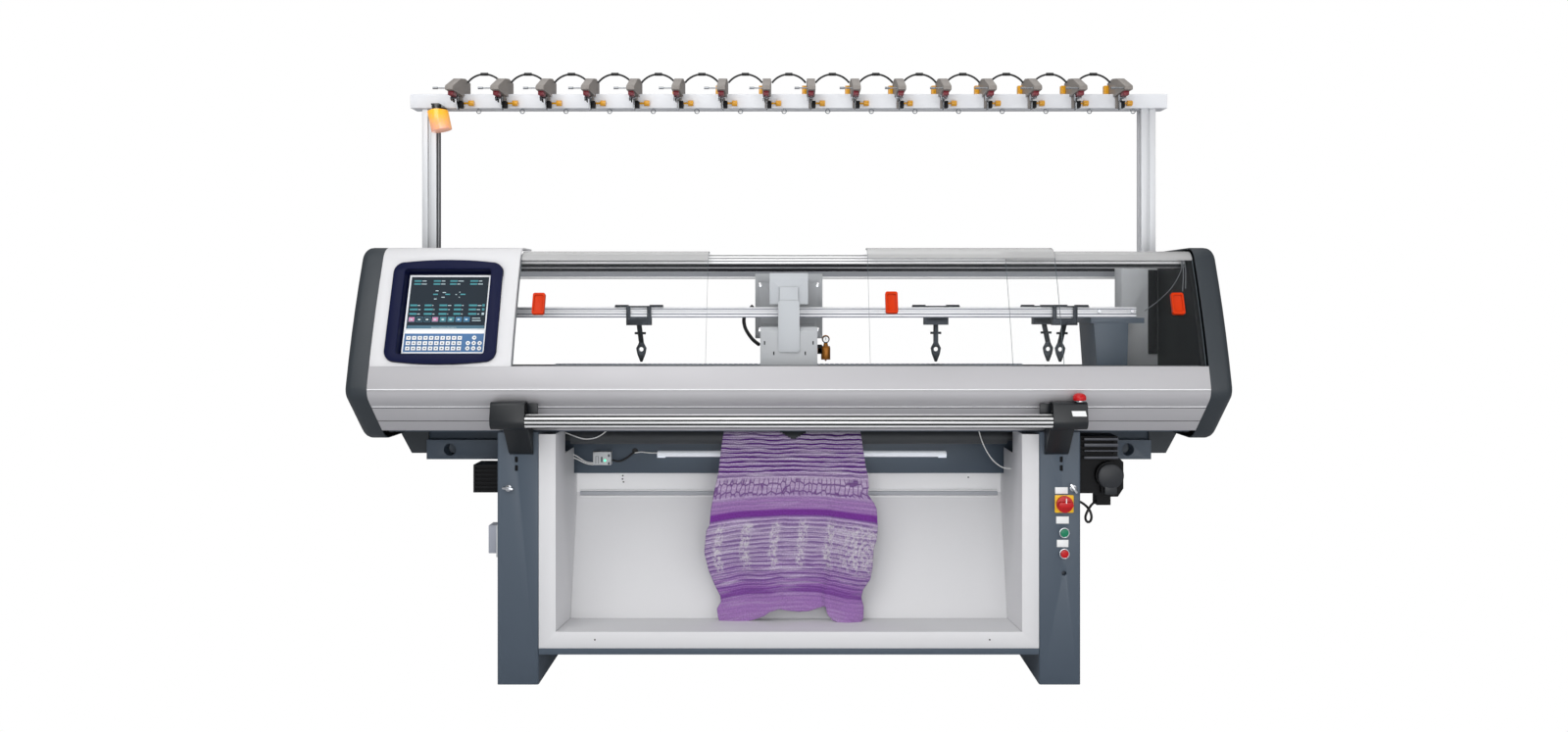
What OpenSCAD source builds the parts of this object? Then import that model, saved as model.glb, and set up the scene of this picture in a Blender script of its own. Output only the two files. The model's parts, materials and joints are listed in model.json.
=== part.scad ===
/* [Overall] */
// Length over both end caps
body_l = 2400; // [2300:10:2600]
// Width of one end cap
cap_w = 65; // [55:1:80]
// Rounding of the outer edge of an end cap
cap_round = 24; // [10:1:30]

/* [Stand] */
// Reach of the covers past the clear width between the legs
overhang = 505; // [480:5:540]
// Width of a leg seen from the front
leg_w = 115; // [100:1:130]
// Depth of a leg from front to back
leg_d = 600; // [580:5:640]
// Height of the legs
leg_h = 700; // [650:5:750]
// Rounding of the upright leg edges
leg_r = 6; // [2:1:10]
// Height of the cross beam between the legs
beam_h = 132; // [120:1:140]
// Depth of the cross beam
beam_d = 60; // [50:1:70]
// Height of the beam arms outside the legs
arm_h = 59; // [50:1:70]
// Length of a beam arm outside a leg
arm_l = 290; // [250:1:310]
// Diameter of the round hole in each beam arm
arm_hole_d = 37; // [25:1:45]

/* [Catch tray] */
// Thickness of the folded tray sheet
tray_t = 2; // [1.5:0.5:3]
// Height of the tray's front lip
tray_lip = 46; // [30:1:60]
// Height of the dark rail under the tray
base_rail_h = 17; // [12:1:25]
// Height of the base rails above the floor
base_rail_z = 83; // [70:1:100]
// Width of the flange along each tray side
tray_flange = 45; // [30:1:55]
// Height of the upright strip above the sloped back
tray_strip = 61; // [40:1:70]

/* [Covers] */
// Reach of the front nose from the middle
nose_f = 395; // [385:1:405]
// Reach of the rear nose from the middle
nose_b = 430; // [425:1:435]
// Radius of the noses
nose_r = 45; // [35:1:55]
// Height of the noses above the legs
nose_up = 126; // [115:1:135]
// Height of the flat top above the legs
cover_h = 516; // [500:1:540]
// Half depth of the rounded top
top_half = 280; // [265:1:290]
// Radius of the top corners
top_r = 50; // [40:1:60]
// Outward bow of the front face
face_bow = 7; // [2:1:10]
// Height of the window sill above the legs
sill_up = 188; // [180:1:195]
// Thickness of the cover sheets
cover_t = 5; // [3:0.5:6]
// Length of the console cover
console_l = 383; // [370:1:400]

/* [Console] */
// Width of the console bezel
bezel_w = 303; // [280:1:310]
// Height of the console bezel along the slope
bezel_h = 300; // [280:1:306]
// Crown of the bezel's upper and lower edges
bezel_crown = 7; // [2:1:9]
// Depth of the bezel's recess
recess_deep = 30; // [20:1:32]
// Width of the display unit
display_w = 226; // [210:1:228]
// Height of the display unit
display_h = 227; // [215:1:232]
// Keys in one row of the keypad
keys_n = 10; // [8:1:12]

/* [Doors] */
// Width of a clear sliding door
door_w = 525; // [500:5:530]
// Thickness of a door sheet
door_t = 5; // [4:0.5:5]
// Gap between the two door tracks
track_gap = 5; // [4:0.5:6]
// Left edge of the left door from the console
left_door_gap = 1; // [1:1:10]
// Left edge of the middle door from the machine's middle
middle_door_x = 220; // [215:1:225]
// Gap from the right door to the right end cap
right_door_gap = 2; // [1:1:10]
// Height of a door handle along the slope
handle_h = 62; // [50:1:70]
// Width of a door handle
handle_w = 34; // [28:1:38]
// Depth of a door handle
handle_d = 13; // [10:1:15]

/* [Needle beds] */
// Gap between the end of a needle bed and the leg below it
bed_end = 5; // [5:1:40]
// Slope of a needle bed
bed_angle = 40; // [38:1:42]
// Thickness of a needle bed
bed_t = 25; // [20:1:30]
// Length of a bed down its slope
bed_run = 205; // [190:1:210]
// Opening between the two beds
bed_gap = 12; // [10:1:16]
// Distance of the bed opening in front of the middle
gap_y = 100; // [95:1:105]
// Height of the bed opening above the legs
gap_up = 180; // [175:1:185]
// Spacing of the needle grooves
trick_pitch = 15; // [12:1:30]
// Depth of the needle grooves
trick_deep = 4; // [2:0.5:6]

/* [Yarn rails and carriers] */
// Distance between yarn rails
rail_pitch = 60; // [58:1:62]
// Thickness of a yarn rail
rail_t = 12; // [10:1:14]
// Height of a yarn rail
rail_h = 30; // [26:1:32]
// Height of the rails' lower edge above the legs
rail_up = 317; // [310:1:325]
// Gap between the end of a yarn rail and the side plate
rail_end = 112; // [111:1:130]
// Width of a rail column
column_w = 110; // [100:1:115]
// Depth of a rail column
column_d = 70; // [60:1:80]
// Width of a yarn carrier
carrier_w = 140; // [120:1:150]
// Running gap between carrier and rail
carrier_gap = 0.3; // [0.2:0.05:0.5]

/* [Carriage] */
// Width of the carriage's rear plate
carriage_w = 208; // [190:1:220]
// Width of the front cam box
cam_w = 160; // [140:1:180]
// Gap between the carriage and the beds
carriage_gap = 1; // [0.5:0.1:2]
// Width of the bridge arm
bridge_w = 60; // [50:1:70]
// Width of the bridge head
bridge_head_w = 108; // [90:1:120]
// Radius of the belt pulleys
pulley_r = 30; // [25:1:32]
// Radius of the pulley pins
pulley_pin_r = 8; // [6:0.5:10]
// Thickness of the drive belt
belt_t = 3; // [2:0.5:4]
// Width of the drive belt
belt_w = 20; // [15:1:25]

/* [Creel] */
// Height of a creel post
post_h = 480; // [440:5:500]
// Width of a creel post
post_w = 44; // [36:1:48]
// Reach of the creel bar past each post
bar_over = 33; // [25:1:45]
// Height of the creel bar
bar_h = 43; // [40:1:50]
// Depth of the creel bar
bar_d = 60; // [50:1:64]
// Number of yarn tension units
tension_n = 16; // [12:2:16]
// Distance from the bar's end to the first tension unit
bar_margin = 153.5; // [140:0.5:170]
// Width of a yarn tension unit
tension_w = 24; // [20:1:28]
// Rise of the cable loops between the units
loop_rise = 26; // [20:1:32]

/* [Controls] */
// Radius of the start bar
start_bar_r = 19; // [17:0.5:20]
// Radius of the start bar's journals
journal_r = 12; // [10:0.5:14]
// Running clearance of shafts in their bores
run_gap = 0.05; // [0.02:0.01:0.08]
// Width of a start bar bracket
bracket_w = 92; // [85:1:100]
// Diameter of the mushroom head
estop_d = 32; // [26:1:33]
// Width of the yellow switch plate
switch_w = 52; // [46:1:56]
// Diameter of the switch knob
knob_d = 46; // [38:1:48]
// Diameter of a push button
button_d = 22; // [18:1:23]
// Diameter of a push button's collar
collar_d = 29; // [27:1:32]

/* [Drives and lamp] */
// Radius of a take-down roller
roller_r = 20; // [18:0.5:20.5]
// Gap between a take-down roller's face and the leg
roller_end = 55; // [40:1:90]
// Opening between the two rollers
nip = 2; // [2:0.1:4]
// Thickness of the knitted panel
knit_t = 1.4; // [1:0.1:1.6]
// Left leg to the work lamp
lamp_left = 299; // [200:1:320]
// Work lamp to the right leg
lamp_right = 221; // [150:1:260]

/* [Hidden] */
$fn = 32;
dark = "#4d575f";
white = "#e9eaec";
silver = "#c3c4c9";
charcoal = "#363d42";
black = "#17191b";
steel = "#a9adb3";
orange = "#f04f14";

// Two tracks of doors share the space above the sill
inner_track = door_t + track_gap;
door_low = 0.3;
rails_n = 3;

// Heights and faces that follow from the sizes above
cap_x = body_l / 2 - cap_w;
nose_z = leg_h + nose_up;
top_z = leg_h + cover_h;
sill_z = leg_h + sill_up;
rail_z = leg_h + rail_up;
bay_w = body_l - 2 * overhang;
leg_x = bay_w / 2;
leg_y = leg_d / 2;
console_x = -cap_x + console_l;
plate_t = 15;
plate_x = cap_x - plate_t;
plate_inset = inner_track + door_t + 0.3;

// Front face of the covers: the tangent from the nose to the top corner
nose_c = [-nose_f + nose_r, nose_z];
top_c = [-top_half + top_r, top_z - top_r];
face_v = top_c - nose_c;
face_a = atan2(face_v[1], face_v[0]) + acos((nose_r - top_r) / norm(face_v));
face_n = [cos(face_a), sin(face_a)];
face_lo = nose_c + nose_r * face_n;
face_hi = top_c + top_r * face_n;
function face_t(z) = (z - face_lo[1]) / (face_hi[1] - face_lo[1]);
function face_pt(t) = face_lo + (face_hi - face_lo) * t + 4 * face_bow * t * (1 - t) * face_n;

// Needle beds and what hangs off them
gap_z = leg_h + gap_up;
bed_l = bay_w - 2 * bed_end;
function bed_z(y) = gap_z - (abs(y + gap_y) - bed_gap / 2) * tan(bed_angle);
// Sloped top of the bed base, with room for the rear bed to slide
base_in = 40;
base_out = 175;
function base_top(y) = bed_z(y) - bed_t / cos(bed_angle) - (y > -gap_y ? 0.3 : 0.02);
function rail_y(i) = -gap_y + (i - 1) * rail_pitch;
pedestal_w = 135;
column_y = rail_y(rails_n - 1) + 20;
column_x = plate_x - column_w;
column_top = leg_h + 472;
post_y = column_y + column_d / 2;
post_x = plate_x - post_w / 2 - 2;
bar_z = column_top + post_h;
bar_front = post_y - bar_d / 2;
bar_l = 2 * post_x + post_w + 2 * bar_over;
tension_pitch = (bar_l - 2 * bar_margin) / (tension_n - 1);
rail_l = 2 * (plate_x - rail_end);
function tension_x(i) = (i - (tension_n - 1) / 2) * tension_pitch;

// Drive belt behind the carriage
pulley_x = (column_x + plate_x) / 2;
pulley_z = leg_h + 130;
foot_y = -gap_y + 176;
foot_d = 40;
belt_y = foot_y + foot_d + 14;

// Start bar in front of the apron
start_y = -nose_f - 16;
start_z = nose_z - 83;
bracket_in = leg_x + 9;

// Controls on the right leg
control_x = leg_x + 69;
lock_x = leg_x + 93;
lock_z = leg_h - 154;
switch_z = leg_h - 198;
start_button_z = switch_z - 80;
stop_button_z = switch_z - 138;
hole_z = switch_z - 193;
plate_d = 3;
button_proud = 7;

// Take-down rollers between the legs
roller_z = leg_h - 35;
roller_dy = roller_r + nip / 2;
roller_l = bay_w - 2 * roller_end;
bearing_t = 15;

// Cross beam behind the take-down
beam_y = -20;
beam_z = leg_h - 25 - beam_h;
arm_z = beam_z + 42;
tray_z = base_rail_z + base_rail_h;
tray_x = leg_x - tray_flange;
strip_z = beam_z - tray_strip;

// Extrudes a side view, drawn in Y and Z, from x0 to x1
module along_x(x0, x1) translate([x0, 0, 0]) rotate([90, 0, 90]) linear_extrude(x1 - x0) children();

// Extrudes a front view, drawn in X and Z, from y0 back to y1
module along_y(y0, y1) translate([0, y1, 0]) rotate([90, 0, 0]) linear_extrude(y1 - y0) children();

// Draws both mirror images
module both_sides() for (s = [0, 1]) mirror([s, 0, 0]) children();

// A rectangle about the origin with exact round corners
module round_rect(w, h, r) {
    square([w - 2 * r, h], center = true);
    square([w, h - 2 * r], center = true);
    for (x = [-1, 1], y = [-1, 1]) translate([x * (w / 2 - r), y * (h / 2 - r)]) circle(r);
}

// Side view of the cover shell, moved in by inset
module shell_profile(inset = 0) offset(delta = -inset) hull() {
    translate(nose_c) circle(nose_r);
    translate(top_c) circle(top_r);
    polygon([for (i = [1:4]) face_pt(i / 5), [0, nose_z]]);
    translate([top_half - top_r, top_c[1]]) circle(top_r);
    translate([nose_b - nose_r, nose_z]) circle(nose_r);
    for (y = [-nose_f + 167, nose_b - 167]) translate([y, leg_h + 47]) circle(70);
}

// A band of the cover shell between two insets, kept inside a window in Y and Z
module shell_band(inset, t, y0, y1, z0, z1) intersection() {
    difference() {
        shell_profile(inset);
        shell_profile(inset + t);
    }
    translate([y0, z0]) square([y1 - y0, z1 - z0]);
}

// Places children on the sloped front face: x across, y up the slope, z outwards
module on_face(x, z) {
    p = face_pt(face_t(z));
    translate([x, p[0], p[1]]) rotate([face_a - 90, 0, 0]) children();
}

module leg(side) color(dark) mirror([side < 0 ? 1 : 0, 0, 0]) difference() {
    union() {
        translate([leg_x + leg_w / 2, 0, 0]) linear_extrude(leg_h) round_rect(leg_w, leg_d, leg_r);
        // Bearing plate of the take-down rollers
        translate([leg_x - bearing_t, -gap_y - 50, leg_h - 70]) cube([bearing_t + 1, 100, 65]);
    }
    for (s = [-1, 1]) translate([leg_x - bearing_t - 1, -gap_y + s * roller_dy, roller_z])
        rotate([0, 90, 0]) cylinder(r = 10 + run_gap, h = bearing_t + 2);
    for (z = [leg_h - 99, leg_h - 75]) translate([leg_x + leg_w / 2 + 4, -leg_y, z])
        rotate([90, 0, 0]) linear_extrude(30, center = true) round_rect(9, 16.5, 3);
    if (side > 0) {
        translate([control_x, -leg_y - 1, hole_z]) rotate([-90, 0, 0]) cylinder(d = 14, h = 20);
        // Bores behind the switch and the push buttons
        translate([control_x, -leg_y - 1, switch_z]) rotate([-90, 0, 0]) cylinder(r = 5 + run_gap, h = 13);
        for (z = [start_button_z, stop_button_z]) translate([control_x, -leg_y - 1, z])
            rotate([-90, 0, 0]) cylinder(d = button_d + 2 * run_gap, h = 13);
    }
}

module left_leg() leg(-1);
module right_leg() leg(1);

module cross_beam() color(dark) {
    difference() {
        translate([-leg_x, beam_y, beam_z]) cube([bay_w, beam_d, beam_h]);
        translate([-leg_x - 1, beam_y + 4, beam_z + 4]) cube([bay_w + 2, beam_d, beam_h - 8]);
    }
    both_sides() difference() {
        along_x(leg_x + leg_w, leg_x + leg_w + arm_l) translate([beam_y, arm_z]) square([beam_d, arm_h]);
        translate([leg_x + leg_w + arm_l - 71, beam_y - 1, arm_z + arm_h / 2])
            rotate([-90, 0, 0]) cylinder(d = arm_hole_d, h = beam_d - 8);
    }
    // Web from each arm up to the bed base
    both_sides() along_y(beam_y + beam_d / 2, beam_y + beam_d)
        let (x = leg_x + leg_w, z = arm_z + arm_h)
        polygon([[x, z], [x + arm_l, z], [x + arm_l + 20, leg_h], [x, leg_h]]);
}

module base_rails() color(dark) {
    for (y = [-leg_y, leg_y - 60]) translate([-leg_x, y, base_rail_z]) cube([bay_w, 60, base_rail_h]);
}

module catch_tray() color(white) {
    y0 = -leg_y + 2;
    knee = [-100, tray_z + 25];
    back = [0, strip_z];
    into = tray_t / 2;
    // Front lip, floor, sloped back and upright strip as one folded sheet
    along_x(-leg_x, leg_x) polygon([[y0, tray_z], [y0, tray_z + tray_lip], knee, back, [back[0], beam_z],
        [back[0] + tray_t, beam_z], [back[0] + tray_t, back[1]], [knee[0] + tray_t, knee[1] - tray_t],
        [y0 + tray_t, tray_z + tray_lip - tray_t], [y0 + tray_t, tray_z]]);
    // Side walls with a front flange against each leg
    both_sides() {
        along_x(tray_x - tray_t, tray_x) polygon([[y0, tray_z + tray_lip - into], knee + [into, -into],
            back + [into, 0], [back[0] + into, beam_z], [-40, beam_z], [-40, leg_h - 75], [-170, leg_h - 75],
            [-170, leg_h - 5], [y0, leg_h - 5]]);
        along_y(y0, y0 + tray_t) translate([tray_x - into, tray_z + tray_lip - into])
            square([tray_flange + into, leg_h - 5 - tray_z - tray_lip + into]);
    }
}

module bed_base() color(dark) for (s = [-1, 1]) along_x(-plate_x, plate_x)
    polygon([[-gap_y + s * base_in, leg_h], [-gap_y + s * base_out, leg_h],
        [-gap_y + s * base_out, base_top(-gap_y + s * base_out)],
        [-gap_y + s * base_in, base_top(-gap_y + s * base_in)]]);

// One needle bed with its row of grooves, sloping away from the opening on side s
module needle_bed(s) color(steel) translate([0, -gap_y + s * bed_gap / 2, gap_z])
    mirror([0, s > 0 ? 0 : 1, 0]) difference() {
        n = floor(bed_l / trick_pitch) - 2;
        rotate([-bed_angle, 0, 0]) difference() {
            translate([-bed_l / 2, 0, -bed_t]) cube([bed_l, bed_run, bed_t]);
            for (i = [0:n]) translate([(i - n / 2) * trick_pitch - 1.5, -1, -trick_deep])
                cube([3, bed_run - 40, trick_deep + 1]);
        }
        // The edge at the opening stands upright
        translate([-bed_l, -2 * bed_t, -2 * bed_t]) cube([2 * bed_l, 2 * bed_t, 3 * bed_t]);
    }

module front_needle_bed() needle_bed(-1);
module rear_needle_bed() needle_bed(1);

module front_apron() color(silver) {
    sill_y = face_pt(face_t(sill_z))[0];
    along_x(-cap_x, cap_x) {
        difference() {
            shell_band(0, cover_t, -nose_f - 50, -nose_f + 116, leg_h + 4, sill_z);
            // Two long grooves below the nose
            for (p = [[-nose_f + 35, nose_z - 51], [-nose_f + 80, nose_z - 91]]) translate(p) circle(cover_t / 2);
        }
        // Ridge along the nose
        translate([-nose_f + 0.5, nose_z]) circle(2);
    }
    // Flange under the doors
    along_x(-plate_x, plate_x) translate([sill_y + 2, sill_z - 4]) square([48, 4]);
}

module rear_apron() color(silver) along_x(-cap_x, cap_x)
    shell_band(0, cover_t, nose_b - 116, nose_b + 50, leg_h + 4, nose_z + 6);

// A cap with a round outer edge, open towards the machine
module end_cap(side) color(charcoal) mirror([side < 0 ? 1 : 0, 0, 0]) difference() {
    x1 = body_l / 2;
    hull() {
        along_x(cap_x, cap_x + 1) shell_profile();
        for (a = [0:15:90]) let (x = x1 - cap_round * (1 - sin(a)))
            along_x(x - 0.2, x) shell_profile(cap_round * (1 - cos(a)));
    }
    hull() {
        along_x(cap_x - 1, cap_x) shell_profile(cover_t);
        along_x(x1 - cap_round, x1 - cap_round + 1) shell_profile(cover_t);
        along_x(x1 - cover_t - 1, x1 - cover_t) shell_profile(cap_round);
    }
}

module left_end_cap() end_cap(-1);
module right_end_cap() end_cap(1);

module side_plates() color(black) both_sides() along_x(plate_x, cap_x) shell_profile(plate_inset);

// Outline of the bezel with crowned upper and lower edges
module bezel_outline(w, h, r, crown) hull() {
    for (x = [-1, 1], y = [-1, 1]) translate([x * (w / 2 - r), y * (h / 2 - crown - r)]) circle(r);
    for (y = [-1, 1]) polygon([for (t = [-0.8:0.2:0.8]) [t * (w / 2 - r), y * (h / 2 - crown * t * t)], [0,
        0]]);
}

console_mid = [(console_x - cap_x) / 2 - 2, leg_h + 334];
bezel_fit = 0.5;

module console_cover() color(white) difference() {
    union() {
        along_x(-cap_x, console_x) shell_band(0, cover_t, -nose_f - 50, -140, sill_z, top_z + 1);
        // Inner rib along the edge beside the window
        along_x(console_x - 3, console_x) shell_band(cover_t - 0.5, 20, -nose_f - 50, -260, sill_z,
            top_z + 1);
    }
    on_face(console_mid[0], console_mid[1]) translate([0, 0, -40]) linear_extrude(60)
        bezel_outline(bezel_w + 2 * bezel_fit, bezel_h + 2 * bezel_fit, 30, bezel_crown);
}

module console_bezel() color("#1b2347") on_face(console_mid[0], console_mid[1]) difference() {
    union() {
        translate([0, 0, -4]) linear_extrude(10) bezel_outline(bezel_w, bezel_h, 30, bezel_crown);
        // Tub that holds the display
        translate([0, 0, -recess_deep - 4]) linear_extrude(recess_deep + 4) round_rect(display_w + 20,
            display_h + 26, 10);
    }
    translate([0, 0, -recess_deep]) linear_extrude(recess_deep + 20) round_rect(display_w + 12,
        display_h + 18, 8);
}

module display_unit() color("#dfe5ea") on_face(console_mid[0], console_mid[1]) translate([0, 0,
    -recess_deep]) {
    key = 156 / keys_n;
    screen_h = 151;
    low = -display_h / 2 + 21;
    difference() {
        linear_extrude(8) square([display_w, display_h], center = true);
        // Screen window
        translate([-display_w / 2 + 5, display_h / 2 - screen_h - 5, 6.5]) cube([display_w - 10, screen_h,
            5]);
    }
    // Three rows of keys and the round arrow keys beside them
    for (i = [0:keys_n - 1], j = [0:2])
        translate([-display_w / 2 + 10 + i * key, low + j * 15, 8]) cube([key * 0.74, 10.4, 1.2]);
    for (p = [[0, 15], [0, 0], [16, 0], [-16, 0], [0, -15], [16, -15], [-16, -15]])
        translate([display_w / 2 - 30 + p[0], low + 20.5 + p[1], 8]) cylinder(d = 12, h = 1.2);
}

// Ribbed bars across the top, on the window side and at the back
module top_rails() color(silver) {
    // Clear of the doors' top bend
    z1 = top_z - inner_track - door_t - 3;
    y0 = -top_half + 40;
    difference() {
        along_x(-plate_x, plate_x) translate([y0, z1 - 38]) square([90, 38]);
        for (i = [0:3]) translate([-plate_x - 1, y0 - 2, z1 - 30 + i * 8]) cube([2 * plate_x + 2, 5, 3]);
    }
    along_x(-plate_x, plate_x) translate([-y0 - 90, z1 - 60]) difference() {
        square([90, 60]);
        translate([6, 6]) square([90, 48]);
    }
}

// Three double-sided rails with a dovetail groove along each face
module yarn_rails() color(silver) for (i = [0:rails_n - 1]) along_x(-rail_l / 2, rail_l / 2)
    translate([rail_y(i), rail_z]) difference() {
        translate([-rail_t / 2, 0]) square([rail_t, rail_h]);
        for (s = [-1, 1]) polygon([[s * (rail_t / 2 + 1), rail_h * 0.36], [s * (rail_t / 2 - 3),
            rail_h * 0.3],
            [s * (rail_t / 2 - 3), rail_h * 0.7], [s * (rail_t / 2 + 1), rail_h * 0.64]]);
    }

// Columns on the bed base that hold the rails, the posts and the pulley pins
module rail_columns() color("#b9bcbf") both_sides() {
    difference() {
        translate([column_x, column_y, leg_h]) cube([column_w, column_d, column_top - leg_h]);
        // Room for the wedge of the bed base behind the opening
        translate([column_x - 1, column_y - 1, leg_h - 1]) cube([column_w + 2, column_d + 2, gap_up - 20]);
    }
    // Foot behind the bed base
    translate([column_x, foot_y, leg_h]) cube([column_w, foot_d, gap_up]);
    along_x(column_x, plate_x) polygon([[column_y, leg_h + gap_up - 21], [foot_y + foot_d,
        leg_h + gap_up - 21],
        [foot_y + foot_d, leg_h + gap_up + 20], [column_y + column_d, leg_h + gap_up + 80],
        [column_y, leg_h + gap_up + 80]]);
    // Pedestal on both halves of the bed base, under a plate that carries the rail ends
    intersection() {
        let (y0 = rail_y(0) - rail_t, y1 = -gap_y - base_in, y2 = -gap_y + base_in, y3 = column_y + 10)
            along_x(column_x - pedestal_w, column_x + 20) polygon([[y0, rail_z], [y3, rail_z], [y3,
                base_top(y3)],
                [y2, base_top(y2)], [y2, base_top(y2) + 20], [y1, base_top(y2) + 20], [y1, base_top(y1)],
                [y0, base_top(y0)]]);
        let (x = column_x - pedestal_w, z = rail_z - 17) along_y(-leg_y, leg_y) polygon([[x, rail_z],
            [column_x + 20, rail_z], [column_x + 20, z], [x + 108, z], [x + 100, leg_h], [x + 30, leg_h],
            [x + 8, z], [x, z]]);
    }
    // Pin of the belt pulley
    translate([pulley_x, foot_y + foot_d - 1, pulley_z]) rotate([-90, 0, 0])
        cylinder(r = pulley_pin_r, h = belt_y + belt_w + 7 - foot_y - foot_d);
}

module posts() color(silver) both_sides() translate([post_x, post_y, column_top]) difference() {
    linear_extrude(post_h) square(post_w, center = true);
    // Slot along each face of the extrusion
    for (a = [0:90:270]) rotate(a) translate([post_w / 2 - 5, -4, -1]) cube([6, 8, post_h + 2]);
}

module creel_bar() color(white) along_x(-bar_l / 2, bar_l / 2) translate([bar_front, bar_z]) difference() {
    square([bar_d, bar_h]);
    translate([3, 3]) square([bar_d - 6, bar_h - 6]);
}

// One cast tension unit: a wedge that sits on the bar and reaches forward, with a foot down the bar's front
module tension_body() {
    f = bar_front;
    z = bar_z + bar_h;
    along_x(-tension_w / 2, tension_w / 2) polygon([[f + 62, z], [f + 62, z + 44], [f + 10, z + 48],
        [f - 34, z + 40], [f - 112, z + 4], [f - 115, z], [f - 115, z - 9], [f, z - 9], [f, z]]);
    along_x(-6, 6) translate([f - 12, z - bar_h - 2]) square([12, bar_h - 6]);
}

module tension_bodies() color("#8f8b86") for (i = [0:tension_n - 1]) translate([tension_x(i), 0, 0])
    tension_body();

// Amber knob on a stem beside each unit, and a sensor block behind it on the bar
module tension_knobs() color("#d99a16") for (i = [0:tension_n - 1]) translate([tension_x(i), bar_front,
    bar_z]) {
    translate([6, -9, 13]) rotate([0, 90, 0]) {
        cylinder(d = 5.6, h = 22);
        translate([0, 0, 21]) cylinder(d = 17, h = 16);
    }
    translate([-tension_w / 2 - 14, 42, bar_h]) cube([14, 18, 34]);
}

// Wire guides of each unit: sensing lever, yarn plate, disc pair and the eyelet below the bar
module yarn_eyelets() color(steel) for (i = [0:tension_n - 1]) translate([tension_x(i), bar_front,
    bar_z + bar_h]) {
    translate([-tension_w / 2 - 38, -106, -3]) rotate([0, 90, 0]) {
        cylinder(d = 4, h = 38);
        cylinder(d = 7, h = 14);
    }
    translate([-1.5, -36, -9 - bar_h]) cube([3, 20, bar_h]);
    translate([-tension_w / 2 + 1, -58, -22]) rotate([0, 90, 0]) {
        cylinder(d = 20, h = 1.5);
        translate([0, 0, 4]) cylinder(d = 20, h = 1.5);
        cylinder(d = 5, h = tension_w - 4);
    }
    translate([-4, -62, -26]) cube([8, 8, 17]);
    translate([52, 10, -bar_h - 8]) rotate([90, 0, 0]) rotate_extrude() translate([6.5, 0]) circle(1.5,
        $fn = 16);
}

// Cable loops from unit to unit, each with a plug at its crest
module tension_cables() color(black) {
    cable_r = 3;
    chord = tension_pitch - tension_w - 2 * cable_r;
    r = chord * chord / (8 * loop_rise) + loop_rise / 2;
    half = asin(chord / 2 / r);
    crest = bar_z + bar_h + 38 + loop_rise;
    for (i = [0:tension_n - 2]) translate([(tension_x(i) + tension_x(i + 1)) / 2, bar_front + 20, crest - r])
        rotate([90, 0, 0]) {
            rotate(90 - half) rotate_extrude(angle = 2 * half) translate([r, 0]) circle(cable_r, $fn = 16);
            translate([0, r, 0]) rotate([0, 90, 0]) cylinder(r = cable_r + 1.8, h = 22, center = true);
        }
}

module signal_lamp() color("#f3a05a") translate([-bar_l / 2 + 93, bar_front - 40, bar_z]) {
    // Strip from the front of the bar
    translate([-12, -14, 0]) cube([24, 54, 5]);
    rotate([0, -12, 0]) {
        translate([0, 0, -14]) cylinder(d = 30, h = 15);
        translate([0, 0, -76]) cylinder(d = 60, h = 62);
    }
}

// A moulded hood round the end of the start bar, on an arm from the leg front
module bracket(side) color(charcoal) mirror([side < 0 ? 1 : 0, 0, 0]) difference() {
    y = start_y;
    z = start_z;
    union() {
        along_x(bracket_in, bracket_in + bracket_w) hull() {
            translate([y + 3, z]) circle(22);
            translate([y - 2, z + 42]) circle(10);
            translate([y + 16, z + 42]) circle(10);
            translate([y + 44, z - 8]) circle(14);
        }
        along_x(bracket_in + 5, bracket_in + 70) hull() {
            translate([y + 44, z - 6]) circle(16);
            translate([-leg_y - 8, leg_h - 48]) circle(8);
            translate([-leg_y - 4, leg_h + 2]) square([4, 4]);
            translate([-leg_y - 4, leg_h - 60]) square([4, 4]);
        }
    }
    translate([bracket_in - 1, y, z]) rotate([0, 90, 0]) cylinder(r = journal_r + run_gap, h = 33);
    // Hollow of the hood above the bar
    along_x(bracket_in - 1, bracket_in + 24) hull() {
        translate([y - 2, z + 41]) circle(7);
        translate([y + 15, z + 41]) circle(7);
        translate([y - 2, z + 24]) circle(4);
        translate([y + 22, z + 24]) circle(4);
    }
    if (side > 0) translate([control_x + 13, y - 1, z + 40]) cylinder(d = 12 + 2 * run_gap, h = 20);
}

module left_bracket() bracket(-1);
module right_bracket() bracket(1);

module start_bar() color(silver) translate([0, start_y, start_z]) rotate([0, 90, 0]) {
    l = 2 * (bracket_in - 1);
    difference() {
        cylinder(r = start_bar_r, h = l, center = true);
        // Ribs along the extrusion
        for (a = [15:30:345]) rotate(a) translate([start_bar_r, 0, 0]) cube([3, 3.5, l + 2], center = true);
    }
    cylinder(r = journal_r, h = l + 60, center = true);
}

module on_leg_front(x, z) translate([x, -leg_y, z]) rotate([90, 0, 0]) children();

module switch_plate() color("#f3c21b") on_leg_front(control_x, switch_z) difference() {
    linear_extrude(plate_d) round_rect(switch_w, switch_w - 3, 3);
    translate([0, 0, -1]) cylinder(r = 5 + run_gap, h = plate_d + 2);
}

module switch_knob() color("#d3161c") on_leg_front(control_x, switch_z) {
    translate([0, 0, -10]) cylinder(r = 5, h = plate_d + 11);
    translate([0, 0, plate_d + 0.3]) cylinder(d = knob_d, h = 9);
    // Grip across the knob
    translate([0, 0, plate_d + 9]) linear_extrude(14) round_rect(knob_d - 6, 15, 6);
}

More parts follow.
